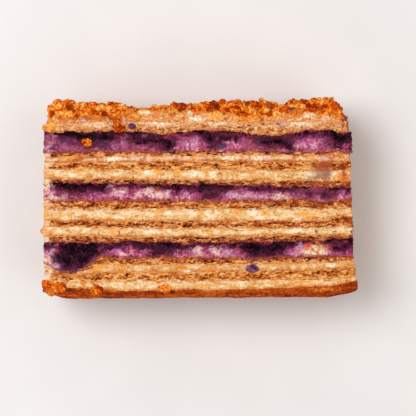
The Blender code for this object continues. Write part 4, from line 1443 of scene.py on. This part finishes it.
class Graph:
    """A node tree, with one way to add any node."""

    def __init__(self, tree: bpy.types.NodeTree) -> None:
        """Wraps a tree."""
        self.tree = tree

    def node(self, kind: str, settings: dict[str, Any], inputs: dict[Any, Any]) -> bpy.types.Node:
        """Adds a node.

        Args:
            kind: The node's type.
            settings: Its own properties, set first.
            inputs: A value, or a socket, for each input, by its name or its index.

        Returns:
            The node.
        """
        made = self.tree.nodes.new(kind)
        for key, value in settings.items():
            setattr(made, key, value)
        for key, value in inputs.items():
            named = (socket for socket in made.inputs if socket.name == key and socket.enabled)
            self.put(made.inputs[key] if isinstance(key, int) else next(named), value)
        return made

    def put(self, socket: bpy.types.NodeSocket, value: Any) -> None:
        """Links a socket, or sets its value."""
        if isinstance(value, Num):
            self.tree.links.new(value.socket, socket)
        else:
            socket.default_value = value

    def value(self, kind: str, settings: dict[str, Any], inputs: dict[Any, Any]) -> Num:
        """Adds a node as node() does, and gives the first of its outputs that is in use."""
        made = self.node(kind, settings, inputs)
        return Num(self, next(socket for socket in made.outputs if socket.enabled))


class Paint(Graph):
    """The node tree of one material, with the few kinds of node that the finishes use."""

    def __init__(self, name: str) -> None:
        """Starts a material with a Principled shader."""
        self.material = bpy.data.materials.new(name)
        self.material.use_nodes = True
        super().__init__(self.material.node_tree)
        self.shader = self.tree.nodes["Principled BSDF"]
        self._place = Num(self, self.node("ShaderNodeTexCoord", {}, {}).outputs["Object"])

    def stored(self, name: str) -> Num:
        """A number stored on the mesh."""
        return Num(self, self.node("ShaderNodeAttribute", {"attribute_name": name}, {}).outputs["Fac"])

    def noise(self, along: float, high: float, detail: float = 2.0, shift: float = 0.0) -> Num:
        """Noise from 0 to 1.

        Args:
            along: How wide its features are along X and Z.
            high: How wide they are along Y.
            detail: How many finer noises lie on it.
            shift: How far it is moved, so that two noises differ.

        Returns:
            The noise.
        """
        scale = (1 / (along * MM), 1 / (high * MM), 1 / (along * MM))
        inputs = {"Vector": self._place, "Scale": scale, "Location": (shift, shift, shift)}
        mapped = self.value("ShaderNodeMapping", {}, inputs)
        inputs = {"Vector": mapped, "Scale": 1.0, "Detail": detail, "Roughness": 0.55}
        return self.value("ShaderNodeTexNoise", {}, inputs).step(0.28, 0.72)

    def crossed(self, distance: Num, noise: Num, reach: float) -> Num:
        """Where a ragged edge crosses a seam: 1 within half its reach of the seam, as the noise says."""
        return (distance - reach * (noise - 0.5)).step(0.3, -0.3)

    def ramp(self, along: Num, *stops: tuple[float, str]) -> Num:
        """A colour that runs through stops, each a place from 0 to 1 and a hex code."""
        made = self.value("ShaderNodeValToRGB", {}, {0: along})
        elements = made.socket.node.color_ramp.elements
        while len(elements) < len(stops):
            elements.new(0.5)
        for element, (place, code) in zip(elements, stops):
            element.position = place
            element.color = rgb(code)
        return made

    def mix(self, amount: Any, first: Any, second: Any) -> Num:
        """Two colours mixed; a hex code will do for either."""
        first, second = (rgb(tone) if isinstance(tone, str) else tone for tone in (first, second))
        return self.value("ShaderNodeMix", {"data_type": "RGBA"}, {0: amount, 6: first, 7: second})

    def stained(self, colour: Num, grain: float = 0.4, mottle: float = 0.56) -> Num:
        """The mesh's stains over a colour.

        Args:
            colour: The colour, some of which shows through.
            grain: How much the stains are broken up.
            mottle: How uneven their brightness is.

        Returns:
            The stained colour.
        """
        parts = self.node("ShaderNodeAttribute", {"attribute_name": "stain"}, {}).outputs
        strength, tone = Num(self, parts["Alpha"]), Num(self, parts["Color"])
        broken = 1.3 * strength - grain * self.noise(0.9, 0.9, 3.0, 15.0).step(0.25, 0.85)
        bright = 1 + mottle * (self.noise(1.0, 0.9, 3.0, 71.0) - 0.5)
        inputs = {"Vector": tone, "Scale": bright}
        mottled = self.value("ShaderNodeVectorMath", {"operation": "SCALE"}, inputs)
        return self.mix(broken.most(0.0).least(0.96), colour, mottled)

    def cover(self, colour: Num, roughness: Num, relief: Num, depth: float) -> None:
        """Sets what a surface shows.

        Args:
            colour: Its colour.
            roughness: Its roughness.
            relief: Its fine relief, from 0 to 1.
            depth: The depth of that.
        """
        inputs = {"Height": relief, "Distance": depth * MM, "Strength": 1.0}
        normal = self.value("ShaderNodeBump", {}, inputs)
        for key, value in {"Base Color": colour, "Roughness": roughness, "Normal": normal}.items():
            self.put(self.shader.inputs[key], value)


def swayed(middle: Any, *parts: tuple[float, Num]) -> Num:
    """A middle value moved by noises, each after how much it counts."""
    return sum((weight * (noise - 0.5) for weight, noise in parts), middle)


# --- Crumbs ---------------------------------------------------------


@dataclass(frozen=True)
class Scatter:
    """Loose crumbs of one kind, strewn over the slice."""

    name: str
    per_square_mm: float
    gather: float
    smallest: float
    largest: float
    detail: int
    crag: float
    seed: int
    flattest: float = 0.65
    longest: float = 1.2
    grains: float = 0.45

    def tree(self) -> bpy.types.NodeTree:
        """The node tree that strews them where the attribute "crumbs" says."""
        tree = bpy.data.node_groups.new(self.name, "GeometryNodeTree")
        numbers = ("Density", "Gather", "Smallest", "Largest", "Crag")
        for name in ("Geometry", *numbers, "Finish"):
            kind = {"Geometry": "Geometry", "Finish": "Material"}.get(name, "Float")
            tree.interface.new_socket(name, in_out="INPUT", socket_type=f"NodeSocket{kind}")
        tree.interface.new_socket("Geometry", in_out="OUTPUT", socket_type="NodeSocketGeometry")
        graph = Graph(tree)
        given = {socket.name: Num(graph, socket) for socket in graph.node("NodeGroupInput", {}, {}).outputs}

        def drawn(low: float, high: float, seed: int, vector: bool = False) -> Num:
            """A number, or a vector, that differs from crumb to crumb."""
            ends = {"Min": (low,) * 3, "Max": (high,) * 3} if vector else {"Min": low, "Max": high}
            settings = {"data_type": "FLOAT_VECTOR" if vector else "FLOAT"}
            inputs = {**ends, "Seed": self.seed + seed}
            return graph.value("FunctionNodeRandomValue", settings, inputs)

        def scaled(vector: Num, scale: Num) -> Num:
            """A vector times a number."""
            inputs = {"Vector": vector, "Scale": scale}
            return graph.value("ShaderNodeVectorMath", {"operation": "SCALE"}, inputs)

        thick = graph.value("GeometryNodeInputNamedAttribute", {"data_type": "FLOAT"}, {"Name": "crumbs"})
        density = thick.power(given["Gather"]) * given["Density"]
        inputs = {"Mesh": given["Geometry"], "Density": density, "Seed": self.seed}
        places = graph.value("GeometryNodeDistributePointsOnFaces", {}, inputs)
        crumb = graph.value("GeometryNodeMeshIcoSphere", {}, {"Radius": 1.0, "Subdivisions": self.detail})
        chance = drawn(0.0, 1.0, 1)
        spread = given["Largest"] - given["Smallest"]
        radius = (chance * chance).times_plus(spread, given["Smallest"])
        shape = drawn(self.flattest, self.longest, 2, vector=True)
        turn = drawn(0.0, 2 * math.pi, 3, vector=True)
        inputs = {"Points": places, "Instance": crumb, "Rotation": turn, "Scale": scaled(shape, radius)}
        strewn = graph.value("GeometryNodeInstanceOnPoints", {}, inputs)
        inputs = {"Geometry": strewn, "Name": "shade", "Value": drawn(0.0, 1.0, 4)}
        settings = {"data_type": "FLOAT", "domain": "INSTANCE"}
        shaded = graph.value("GeometryNodeStoreNamedAttribute", settings, inputs)
        solid = graph.value("GeometryNodeRealizeInstances", {}, {"Geometry": shaded})
        inputs = {"Scale": self.grains / (self.smallest * MM), "Detail": 2.0}
        push = (graph.value("ShaderNodeTexNoise", {}, inputs) - 0.5) * given["Crag"]
        offset = scaled(graph.value("GeometryNodeInputNormal", {}, {}), push)
        craggy = graph.value("GeometryNodeSetPosition", {}, {"Geometry": solid, "Offset": offset})
        inputs = {"Geometry": craggy, "Material": given["Finish"]}
        finished = graph.value("GeometryNodeSetMaterial", {}, inputs)
        graph.node("NodeGroupOutput", {}, {0: finished})
        return tree

    def strew(self, bed: bpy.types.Mesh) -> bpy.types.Object:
        """Strews the crumbs.

        Args:
            bed: The faces that they lie on.

        Returns:
            The crumbs, as one piece.
        """
        ground = put_in_scene("crumb_bed", bed)
        tree = self.tree()
        strewn = ground.modifiers.new("strew", "NODES")
        strewn.node_group = tree
        values = {
            "Density": self.per_square_mm / MM**2,
            "Gather": self.gather,
            "Smallest": self.smallest * MM,
            "Largest": self.largest * MM,
            "Crag": self.crag * MM,
            "Finish": FINISHES[Kind.CRUMB].material(),
        }
        for socket in tree.interface.items_tree:
            if socket.name in values:
                strewn[socket.identifier] = values[socket.name]
        graph = bpy.context.evaluated_depsgraph_get()
        mesh = bpy.data.meshes.new_from_object(ground.evaluated_get(graph), depsgraph=graph)
        mesh.name = self.name
        bpy.data.objects.remove(ground)
        plain = {"pit": np.zeros(len(mesh.vertices)), "stain": np.zeros((len(mesh.vertices), 4))}
        return show(self.name, mesh, plain)


def joined(pieces: list[bpy.types.Object]) -> bpy.types.Mesh:
    """The faces of several pieces in one mesh, for the crumbs to lie on."""
    sheet = bmesh.new()
    for piece in pieces:
        sheet.from_mesh(piece.data)
    mesh = bpy.data.meshes.new("crumb_bed")
    sheet.to_mesh(mesh)
    sheet.free()
    return mesh


SCATTERS = (
    Scatter("fine_crumbs", 0.25, 1.0, 0.2, 0.6, 2, 1.2, 11),
    Scatter("loose_crumbs", 0.06, 1.6, 0.7, 1.9, 3, 3.2, 23),
)


@cache
def ball() -> tuple[Array, list[list[int]]]:
    """The corners and the faces of a fine ball, one unit in radius."""
    made = bmesh.new()
    bmesh.ops.create_icosphere(made, subdivisions=5, radius=1.0)
    made.verts.index_update()
    corners = np.array([corner.co[:] for corner in made.verts])
    faces = [[corner.index for corner in face.verts] for face in made.faces]
    made.free()
    return corners, faces


@dataclass(frozen=True)
class Bit:
    """One craggy bit that stands out: a large crumb, or a bit of berry."""

    name: str
    centre: Triple
    radii: Triple
    shade: float
    tint: Tint | None = None
    kind: Kind = Kind.CRUMB
    replaces: str = ""
    crag: float = 0.45

    def build(self) -> bpy.types.Object:
        """Builds the bit as its own piece."""
        unit, faces = ball()
        size = float(np.mean(self.radii))
        at = unit * size + random.Random(f"{SEED} {self.name}").uniform(0.0, 60.0)
        lump, own = ROUGH.cells(at / (0.62 * size))
        bead, small = ROUGH.cells(at / 0.55)
        grain = ROUGH.layered(at / 0.7)
        away = 1 + self.crag * (0.9 * (0.55 - lump) + 0.35 * grain) + 0.16 / size * (0.5 - bead)
        colour = np.zeros((len(unit), 4))
        if self.tint:
            seep(colour, self.tint, 0.9 * smooth(ROUGH.layered(at / 1.4 + 9.0), -0.5, 0.1))
        notes = {
            # Painted shade in the crevices between the bit's lumps and grains.
            "pit": np.clip(smooth(lump, 0.5, 0.85) * 0.7 + smooth(bead, 0.45, 0.8) * 0.6, 0, 1),
            "shade": np.clip(self.shade + 0.25 * (own - 0.5) + 0.2 * (small - 0.5), 0, 1),
            "low": np.full(len(unit), 5.0),
            "stain": colour,
        }
        points = unit * away[:, None] * self.radii + self.centre
        piece = new_piece(self.name + "_piece", points, faces, FINISHES[self.kind], notes)
        if self.replaces:
            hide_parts(self.replaces)
        return piece


def front_crumbs() -> list[Bit]:
    """The large crumbs along the topping's front edge."""
    form = SliceForm()
    made = []
    for number, (x, radius, rise, shade) in enumerate(FRONT_CRUMBS, 1):
        z = THICKNESS - 0.5 * radius
        height = form.height("crumb_topping", x, z) - 0.45 * radius + rise
        radii = (radius, radius * 0.92, radius)
        tint = Tint.RUST if shade < 0.2 else None
        made.append(Bit(f"edge_crumb_{number:02d}", (x, height, z), radii, shade, tint))
    return made


def pile(name: str, x: float, y: float, across: float, high: float, count: int) -> list[Bit]:
    """Crumbs that lie together on the cut face.

    Args:
        name: The start of their names.
        x: The middle's X.
        y: The middle's Y.
        across: Half the pile's width.
        high: Half its height.
        count: How many there are.

    Returns:
        The crumbs.
    """
    draw = random.Random(f"{SEED} {name}")
    made = []
    for number in range(1, count + 1):
        turn, away = draw.uniform(0, 2 * math.pi), math.sqrt(draw.uniform(0.0, 1.0))
        size = draw.uniform(*PILE_SIZES)
        place = (x + across * away * math.cos(turn), y + high * away * math.sin(turn), THICKNESS)
        shade = draw.uniform(*PILE_SHADES)
        made.append(Bit(f"{name}_{number:02d}", place, (size, 0.9 * size, 0.6 * size), shade))
    return made


# The radii and the shades that a pile's crumbs are drawn from.
PILE_SIZES = (0.5, 1.1)
PILE_SHADES = (0.35, 1.0)
# X, radius, rise and shade of each large crumb along the topping's front edge.
FRONT_CRUMBS = (
    (-59.3, 2.5, 0.1, 0.78), (-53.8, 2.0, 0.3, 0.3), (-49.2, 2.1, 0.3, 0.85), (-44.6, 2.1, 0.2, 0.5),
    (-36.8, 2.3, 0.2, 0.42), (-32.6, 1.6, 0.3, 0.92), (-7.8, 2.4, 0.0, 0.12), (5.6, 1.9, 0.5, 0.1),
    (9.6, 1.6, 0.9, 0.36), (16.5, 1.9, 0.2, 0.4), (26.5, 1.9, 0.2, 0.62), (40.6, 1.9, 0.1, 0.7),
    (53.0, 1.7, 0.4, 0.88),
)
BITS = [
    *front_crumbs(),
    *pile("end_pile", -61.4, 5.7, 3.9, 1.9, 18),
    *pile("foot_pile", -42.7, 4.6, 2.8, 2.2, 9),
    Bit("crumb_on_berries", (-47.1, 65.9, THICKNESS + 1.0), (2.2, 1.8, 1.3), 0.4),
    Bit("crumb_on_cream", (-27.4, 76.6, THICKNESS + 0.8), (2.6, 1.7, 1.3), 1.0, Tint.GOLD),
    Bit("crumb_on_sponge", (-33.6, 72.0, THICKNESS + 0.4), (2.4, 1.9, 1.3), 0.22),
    Bit("crumb_above_it", (-34.6, 74.8, THICKNESS + 0.2), (1.6, 1.4, 1.1), 0.5),
    Bit("crumb_at_end_high", (-64.6, 72.3, THICKNESS - 2.2), (1.5, 1.3, 1.9), 0.82),
    Bit("crumb_at_end_low", (-65.4, 28.8, THICKNESS - 1.8), (1.4, 1.3, 1.6), 0.9),
    Bit("crumb_at_foot", (-43.0, 3.6, THICKNESS + 0.2), (2.4, 1.5, 1.1), 0.55),
    Bit("crumb_on_crust", (-14.2, 4.8, THICKNESS + 0.3), (2.1, 1.9, 1.2), 0.75),
    Bit("crumb_beside_it", (-16.6, 5.0, THICKNESS + 0.1), (1.0, 0.9, 0.8), 0.8),
    *(
        Bit(name, (x, y, THICKNESS + rise), radii, 0.7, tint, Kind.BERRIES, name)
        for name, x, y, rise, radii, tint in (
            ("berry_bit_on_sponge", -28.3, 72.6, 0.5, (1.5, 1.2, 0.45), Tint.SLATE),
            ("berry_bit_on_cream", 22.2, 13.2, 0.8, (2.6, 1.6, 0.5), Tint.DUSK),
        )
    ),
]


# --- Finishes -------------------------------------------------------


@dataclass(frozen=True)
class Finish(ABC):
    """A surface finish."""

    name: str
    sheen: float = 0.06
    coat: float = 0.0
    coat_roughness: float = 0.2
    soft: float = 0.0
    soft_depth: float = 1.0

    @abstractmethod
    def paint(self, paint: Paint) -> None:
        """Adds the finish's own nodes."""

    def material(self) -> bpy.types.Material:
        """The finish's material, made once."""
        known = bpy.data.materials.get(self.name)
        if known:
            return known
        paint = Paint(self.name)
        fixed = {
            "Specular IOR Level": self.sheen,
            "Coat Weight": self.coat,
            "Coat Roughness": self.coat_roughness,
            "Subsurface Weight": self.soft,
            "Subsurface Radius": (1.0, 0.55, 0.3),
            "Subsurface Scale": self.soft_depth * MM,
        }
        for key, value in fixed.items():
            paint.put(paint.shader.inputs[key], value)
        self.paint(paint)
        return paint.material


@dataclass(frozen=True)
class SpongeFinish(Finish):
    """Thin honey sponge: tan crumb, darker baked patches and deep brown pores, darkened further with
    painted shade.
    """

    # The darkest stop, which the painted shade in the pores mostly reaches.
    pore: str = "#360c04"
    dark: str = "#84300e"
    tan: str = "#c46c2f"
    pale: str = "#eaac6a"
    smear: str = "#e8b078"
    baked: float = 0.5
    pale_top: float = 0.0
    drawn: float = 1.0
    mottle: float = 0.56

    def paint(self, paint: Paint) -> None:
        """Colour from three scales of crumb, smeared with cream, with painted shade in the pores and the
        baked streaks dark.
        """
        broad = paint.noise(5.0 * self.drawn, 1.6)
        crumb = paint.noise(1.7 * self.drawn, 0.8, shift=4.0)
        fine = paint.noise(0.6, 0.5, shift=6.0)
        tone = swayed(0.52, (0.4, broad), (0.38, crumb), (0.2, fine))
        edge, partner = paint.stored("high").least(paint.stored("low")), paint.stored("partner")
        streak = edge.step(1.0, 0.1) * paint.noise(1.8, 0.8, shift=2.0).step(0.55, 0.9)
        streak = streak * (partner - edge).step(0.0, 0.6)
        # Painted shade darkens the pores, on top of the real baked streaks.
        depth = 0.42 * paint.stored("pit") + self.baked * 0.45 * streak
        stops = (0.0, self.pore), (0.26, self.dark), (0.52, self.tan), (0.76, self.pale)
        colour = paint.ramp(tone - depth, *stops)
        wander = paint.noise(9.0, 2.5, 1.0, 23.0)
        smeared = paint.crossed(partner - 1.5 * (wander - 0.6), paint.noise(2.2, 0.9, 3.0, 21.0), 1.6)
        colour = paint.mix(smeared * (0.5 + 0.5 * fine), colour, self.smear)
        colour = paint.mix(paint.stored("high").step(3.4, 1.2) * crumb * self.pale_top, colour, self.smear)
        paint.cover(paint.stained(colour, mottle=self.mottle), 0.95 - 0.25 * crumb, fine, 0.1)


@dataclass(frozen=True)
class CreamFinish(Finish):
    """Pale cream with honey soaked into it from the sponges."""

    white: str = "#f1dcba"
    pale: str = "#e7c493"
    cream: str = "#d9a15f"
    honey: str = "#c2702a"
    gold: str = "#e49b3a"
    crumb: str = "#a45222"
    grain: float = 0.34
    drawn: float = 1.0
    mottle: float = 0.56

    def paint(self, paint: Paint) -> None:
        """Colour from soft smears, golden where sponges touch it, with bits of sponge dragged over and
        painted shade in its small holes.
        """
        smear = paint.noise(7.0 * self.drawn, 1.8, 4.0)
        cloud = paint.noise(2.4, 1.9, 4.0, 3.0)
        fine = paint.noise(0.9, 0.8, shift=8.0)
        low, high = paint.stored("low"), paint.stored("high")
        tone = swayed(0.57, (0.38, smear), (0.36, cloud), (self.grain, fine)) - 0.24 * low.step(1.7, 0.2)
        stops = (0.18, self.honey), (0.4, self.cream), (0.6, self.pale), (0.84, self.white)
        colour = paint.ramp(tone, *stops)
        golden = paint.noise(4.0 * self.drawn, 1.6, 4.0, 41.0).step(0.5, 1.0) * (0.4 + 0.6 * fine)
        colour = paint.mix(golden, colour, self.gold)
        soaked = low.least(high).step(1.2, 0.0) * paint.noise(2.4, 1.0, shift=7.0).step(0.25, 0.7)
        colour = paint.mix(soaked * 0.8, colour, self.honey)
        reach = paint.stored("partner") - 1.3 * (paint.noise(9.0, 2.5, 1.0, 29.0) - 0.7)
        dragged = paint.crossed(reach, paint.noise(1.6, 0.8, 3.0, 33.0), 1.5)
        colour = paint.mix(dragged * (0.5 + 0.5 * fine), colour, self.crumb)
        colour = paint.stained(colour, mottle=self.mottle)
        speck = paint.noise(0.9, 0.7, shift=12.0).step(0.2, 0.0) * 0.45
        # Random specks of crumb, and painted shade in the cream's small holes.
        colour = paint.mix(speck.most(paint.stored("pit") * 0.4), colour, self.crumb)
        paint.cover(colour, 0.5 + 0.3 * cloud, paint.noise(1.2, 0.8, 3.0, 5.0), 0.1)


@dataclass(frozen=True)
class JuiceFinish(Finish):
    """Cooked dark berries and the cream that their juice stains, from near black to pale pink."""

    warm: tuple[str, ...] = ("#060103", "#2c0818", "#661a34", "#a23c5e", "#cf6c88", "#e8b6ae")
    cool: tuple[str, ...] = ("#060103", "#2c0818", "#551b45", "#98346e", "#ca6298", "#dca4b8")
    places: tuple[float, ...] = (0.06, 0.2, 0.4, 0.6, 0.8, 1.0)
    fringe: str = "#97503f"
    # The colour mixed in as painted shade in the berries' crevices, or as the raised pulp's own colour in
    # berry cream.
    pit: str = "#7a2440"
    edge_lift: float = 0.0

    def paint(self, paint: Paint) -> None:
        """Darkest in the berries, paler away from them, with upright fibres and a fine grain."""
        cloud = paint.noise(3.4, 2.4, 4.0)
        fibre = paint.noise(0.9, 2.4, shift=3.0)
        fine = paint.noise(0.8, 0.7, shift=6.0)
        low, high = paint.stored("low"), paint.stored("high")
        juice = paint.stored("juice").most(-2.8).least(2.2)
        tone = swayed(0.38 - 0.13 * juice, (0.5, cloud), (0.28, fibre), (0.2, fine))
        lift = self.edge_lift * high.step(1.6, 0.2)
        tone = tone + lift * paint.noise(3.0, 1.6, shift=45.0).step(0.1, 0.8)
        tone = tone - 0.4 * paint.noise(1.3, 1.7, shift=51.0).step(0.2, 0.02)
        tone = tone - 0.3 * low.step(1.5, 0.0) * paint.noise(1.8, 1.2, shift=57.0)
        warm, cool = (paint.ramp(tone, *zip(self.places, codes)) for codes in (self.warm, self.cool))
        hue = paint.noise(4.0, 3.0, shift=14.0).step(0.3, 0.7) * low.step(0.4, 2.2)
        colour = paint.stained(paint.mix(hue, warm, cool), 0.4, 0.95)
        # Painted shade in the crevices of the berries; the pulp's own colour in berry cream.
        colour = paint.mix(paint.stored("pit") * 0.4, colour, self.pit)
        pulp = paint.noise(0.8, 0.9, shift=27.0)
        colour = paint.mix(pulp.step(0.7, 0.95) * 0.35, colour, paint.mix(hue, "#7c2840", "#743058"))
        fringe = low.step(1.5, 0.1) * paint.noise(1.4, 0.8, shift=61.0).step(0.15, 0.6)
        paint.cover(paint.mix(fringe * 0.8, colour, self.fringe), 0.45 + 0.3 * fibre, fine, 0.12)


@dataclass(frozen=True)
class CrumbFinish(Finish):
    """Baked crumbs, each its own shade of orange, gold or rust."""

    shades: tuple[str, ...] = ("#8c2200", "#c04302", "#e8720f", "#f7a133", "#fdcb7c")
    places: tuple[float, ...] = (0.14, 0.34, 0.5, 0.68, 0.86)

    def paint(self, paint: Paint) -> None:
        """Colour from each crumb's own shade, mottled, with painted shade between the lumps."""
        mottle = paint.noise(0.8, 0.8, 3.0, 5.0)
        tone = swayed(0.5, (0.46, paint.stored("shade")), (0.24, paint.noise(3.0, 3.0)), (0.46, mottle))
        # Painted shade in the crevices between the packed lumps.
        tone = tone - 0.3 * paint.stored("pit")
        colour = paint.stained(paint.ramp(tone, *zip(self.places, self.shades)))
        paint.cover(colour, 0.9 - 0.3 * mottle, paint.noise(0.4, 0.4, 3.0, 7.0), 0.12)


@dataclass(frozen=True)
class CrustFinish(Finish):
    """The dark baked underside."""

    dark: str = "#761e02"
    brown: str = "#a9410c"
    amber: str = "#cc6a20"
    # The colour of the painted shade in the crust's pores.
    pore: str = "#3f1206"

    def paint(self, paint: Paint) -> None:
        """Deep honey brown, paler towards the cream, with painted shade in the pores."""
        fine = paint.noise(1.2, 0.7, 3.0, 4.0)
        tone = 0.5 * paint.noise(8.0, 1.6, 3.0) + 0.45 * fine + 0.2 * paint.stored("high").step(1.6, 0.0)
        colour = paint.ramp(tone, (0.15, self.dark), (0.5, self.brown), (0.95, self.amber))
        # Painted shade in the pores.
        colour = paint.mix(paint.stored("pit") * 0.8, paint.stained(colour), self.pore)
        paint.cover(colour, 0.8 - 0.25 * fine, paint.noise(0.5, 0.5, 3.0, 7.0), 0.14)


FINISHES: dict[Kind, Finish] = {
    Kind.CRUST: CrustFinish("baked_crust"),
    Kind.SPONGE: SpongeFinish("honey_sponge"),
    Kind.CREAM: CreamFinish("honey_cream", sheen=0.15, soft=0.08),
    Kind.BERRY_CREAM: JuiceFinish("stained_cream", sheen=0.1, coat=0.03, coat_roughness=0.3),
    # The near-black that the berries mix into their crevices is painted shade.
    Kind.BERRIES: JuiceFinish(
        "cooked_berries", sheen=0.03, coat=0.01, fringe="#5c1838", pit="#060103", edge_lift=0.24
    ),
    Kind.CRUMB: CrumbFinish("baked_crumbs"),
}
DARK_SPONGE = SpongeFinish(
    "dark_sponge", pore="#260803", dark="#66200c", tan="#ae5c2b", pale="#e0a062", smear="#dfa468"
)
GOLD_SPONGE = SpongeFinish("golden_sponge", dark="#96410f", tan="#cf7b33", pale="#eeb56f")
OWN_FINISHES = {
    "sponge_01": GOLD_SPONGE,
    "sponge_03": DARK_SPONGE,
    "sponge_06": DARK_SPONGE,
    "sponge_07": GOLD_SPONGE,
    "sponge_09": SpongeFinish(
        "pale_sponge",
        pore="#6a240c",
        dark="#ac5a22",
        tan="#d58c50",
        pale="#efc188",
        smear="#e6b384",
        baked=0.2,
        pale_top=0.6,
        drawn=0.55,
        mottle=1.0,
    ),
    "cream_02": CreamFinish(
        "golden_cream", white="#eed0a6", pale="#e1b07a", cream="#d39558", honey="#c06c2a"
    ),
    "cream_06": CreamFinish(
        "peach_cream", white="#f0d4b2", pale="#e3b48a", cream="#d4905c", honey="#b8602c"
    ),
    "cream_07": CreamFinish(
        "crumbed_cream",
        white="#eecba2",
        pale="#dea06c",
        cream="#cd783d",
        honey="#b85516",
        grain=0.6,
        drawn=0.4,
        mottle=1.1,
    ),
}


# --- Studio ---------------------------------------------------------


@dataclass(frozen=True)
class Studio:
    """A pale floor, soft light from the upper left and a camera straight above."""

    view_width: float = 174.2
    camera_height: float = 0.75
    aim: Pair = (3.56, 38.5)
    world: Triple = (1.0, 0.942, 0.885)
    world_strength: float = 0.53
    floor_half: float = 1.5
    floor_drop: float = 0.0002

    def build(self) -> None:
        """Sets up the floor, the lights and the camera."""
        self._floor()
        self._light("window", (-0.4, 0.17, 0.98), 0.5, 7.2, (0.93, 0.965, 1.0))
        self._light("fill", (0.6, -0.25, 0.8), 0.9, 2.0, (1.0, 0.95, 0.9))
        world = bpy.data.worlds.new("studio")
        world.use_nodes = True
        colour, strength = world.node_tree.nodes["Background"].inputs[:2]
        colour.default_value = (*self.world, 1.0)
        strength.default_value = self.world_strength
        lens = bpy.data.cameras.new("camera")
        lens.sensor_fit = "HORIZONTAL"
        lens.angle = 2 * math.atan(self.view_width * MM / 2 / self.camera_height)
        camera = put_in_scene("camera", lens)
        x, y = (self.aim[0] + ORIGIN[0]) * MM, (self.aim[1] + ORIGIN[1]) * MM
        camera.location = (x, y, THICKNESS * MM + self.camera_height)
        scene = bpy.context.scene
        scene.camera = camera
        scene.world = world
        scene.view_settings.view_transform = "Standard"

    def _floor(self) -> None:
        """A pale floor with a faint mottle."""
        sheet = bmesh.new()
        bmesh.ops.create_grid(sheet, x_segments=8, y_segments=8, size=self.floor_half)
        bmesh.ops.translate(sheet, verts=sheet.verts, vec=(0.0, 0.0, -self.floor_drop))
        mesh = bpy.data.meshes.new("floor")
        sheet.to_mesh(mesh)
        sheet.free()
        floor = put_in_scene("floor", mesh)
        paint = Paint("pale_floor")
        mottle = paint.mix(paint.noise(60.0, 60.0, 3.0), "#e3e1e0", "#e8e6e5")
        paint.put(paint.shader.inputs["Base Color"], mottle)
        paint.put(paint.shader.inputs["Roughness"], 0.6)
        mesh.materials.append(paint.material)

    def _light(self, name: str, place: Triple, size: float, power: float, colour: Triple) -> None:
        """A square soft light that faces the slice, with its place and its size in metres."""
        lamp = bpy.data.lights.new(name, "AREA")
        lamp.size = size
        lamp.energy = power
        lamp.color = colour
        made = put_in_scene(name, lamp)
        made.location = place
        made.rotation_euler = (-Vector(place)).to_track_quat("-Z", "Y").to_euler()


def plan() -> list[LayerPiece]:
    """Each layer piece from the bottom up, between the seams below and above it."""
    made: list[LayerPiece] = []
    below = "bottom"
    for layer in LAYERS:
        names = {layer.name: layer.kind}
        if layer.kind is Kind.BERRY_CREAM:
            names["berries_" + layer.name.removeprefix("berry_cream_")] = Kind.BERRIES
        for name, kind in names.items():
            made.append(LayerPiece(name, kind, below, name))
            below = name
    for lower, upper in zip(made, made[1:]):
        lower.over, upper.under = upper.kind, lower.kind
    return made


def main() -> None:
    """Builds and dresses the slice."""
    logging.basicConfig(level=logging.INFO, format="%(message)s")
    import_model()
    Studio().build()
    skin = Outline().skin()
    bed = joined([layer.build(skin) for layer in plan()])
    for scatter in SCATTERS:
        scatter.strew(bed)
    bpy.data.meshes.remove(bed)
    for bit in BITS:
        bit.build()


if __name__ == "__main__":
    main()
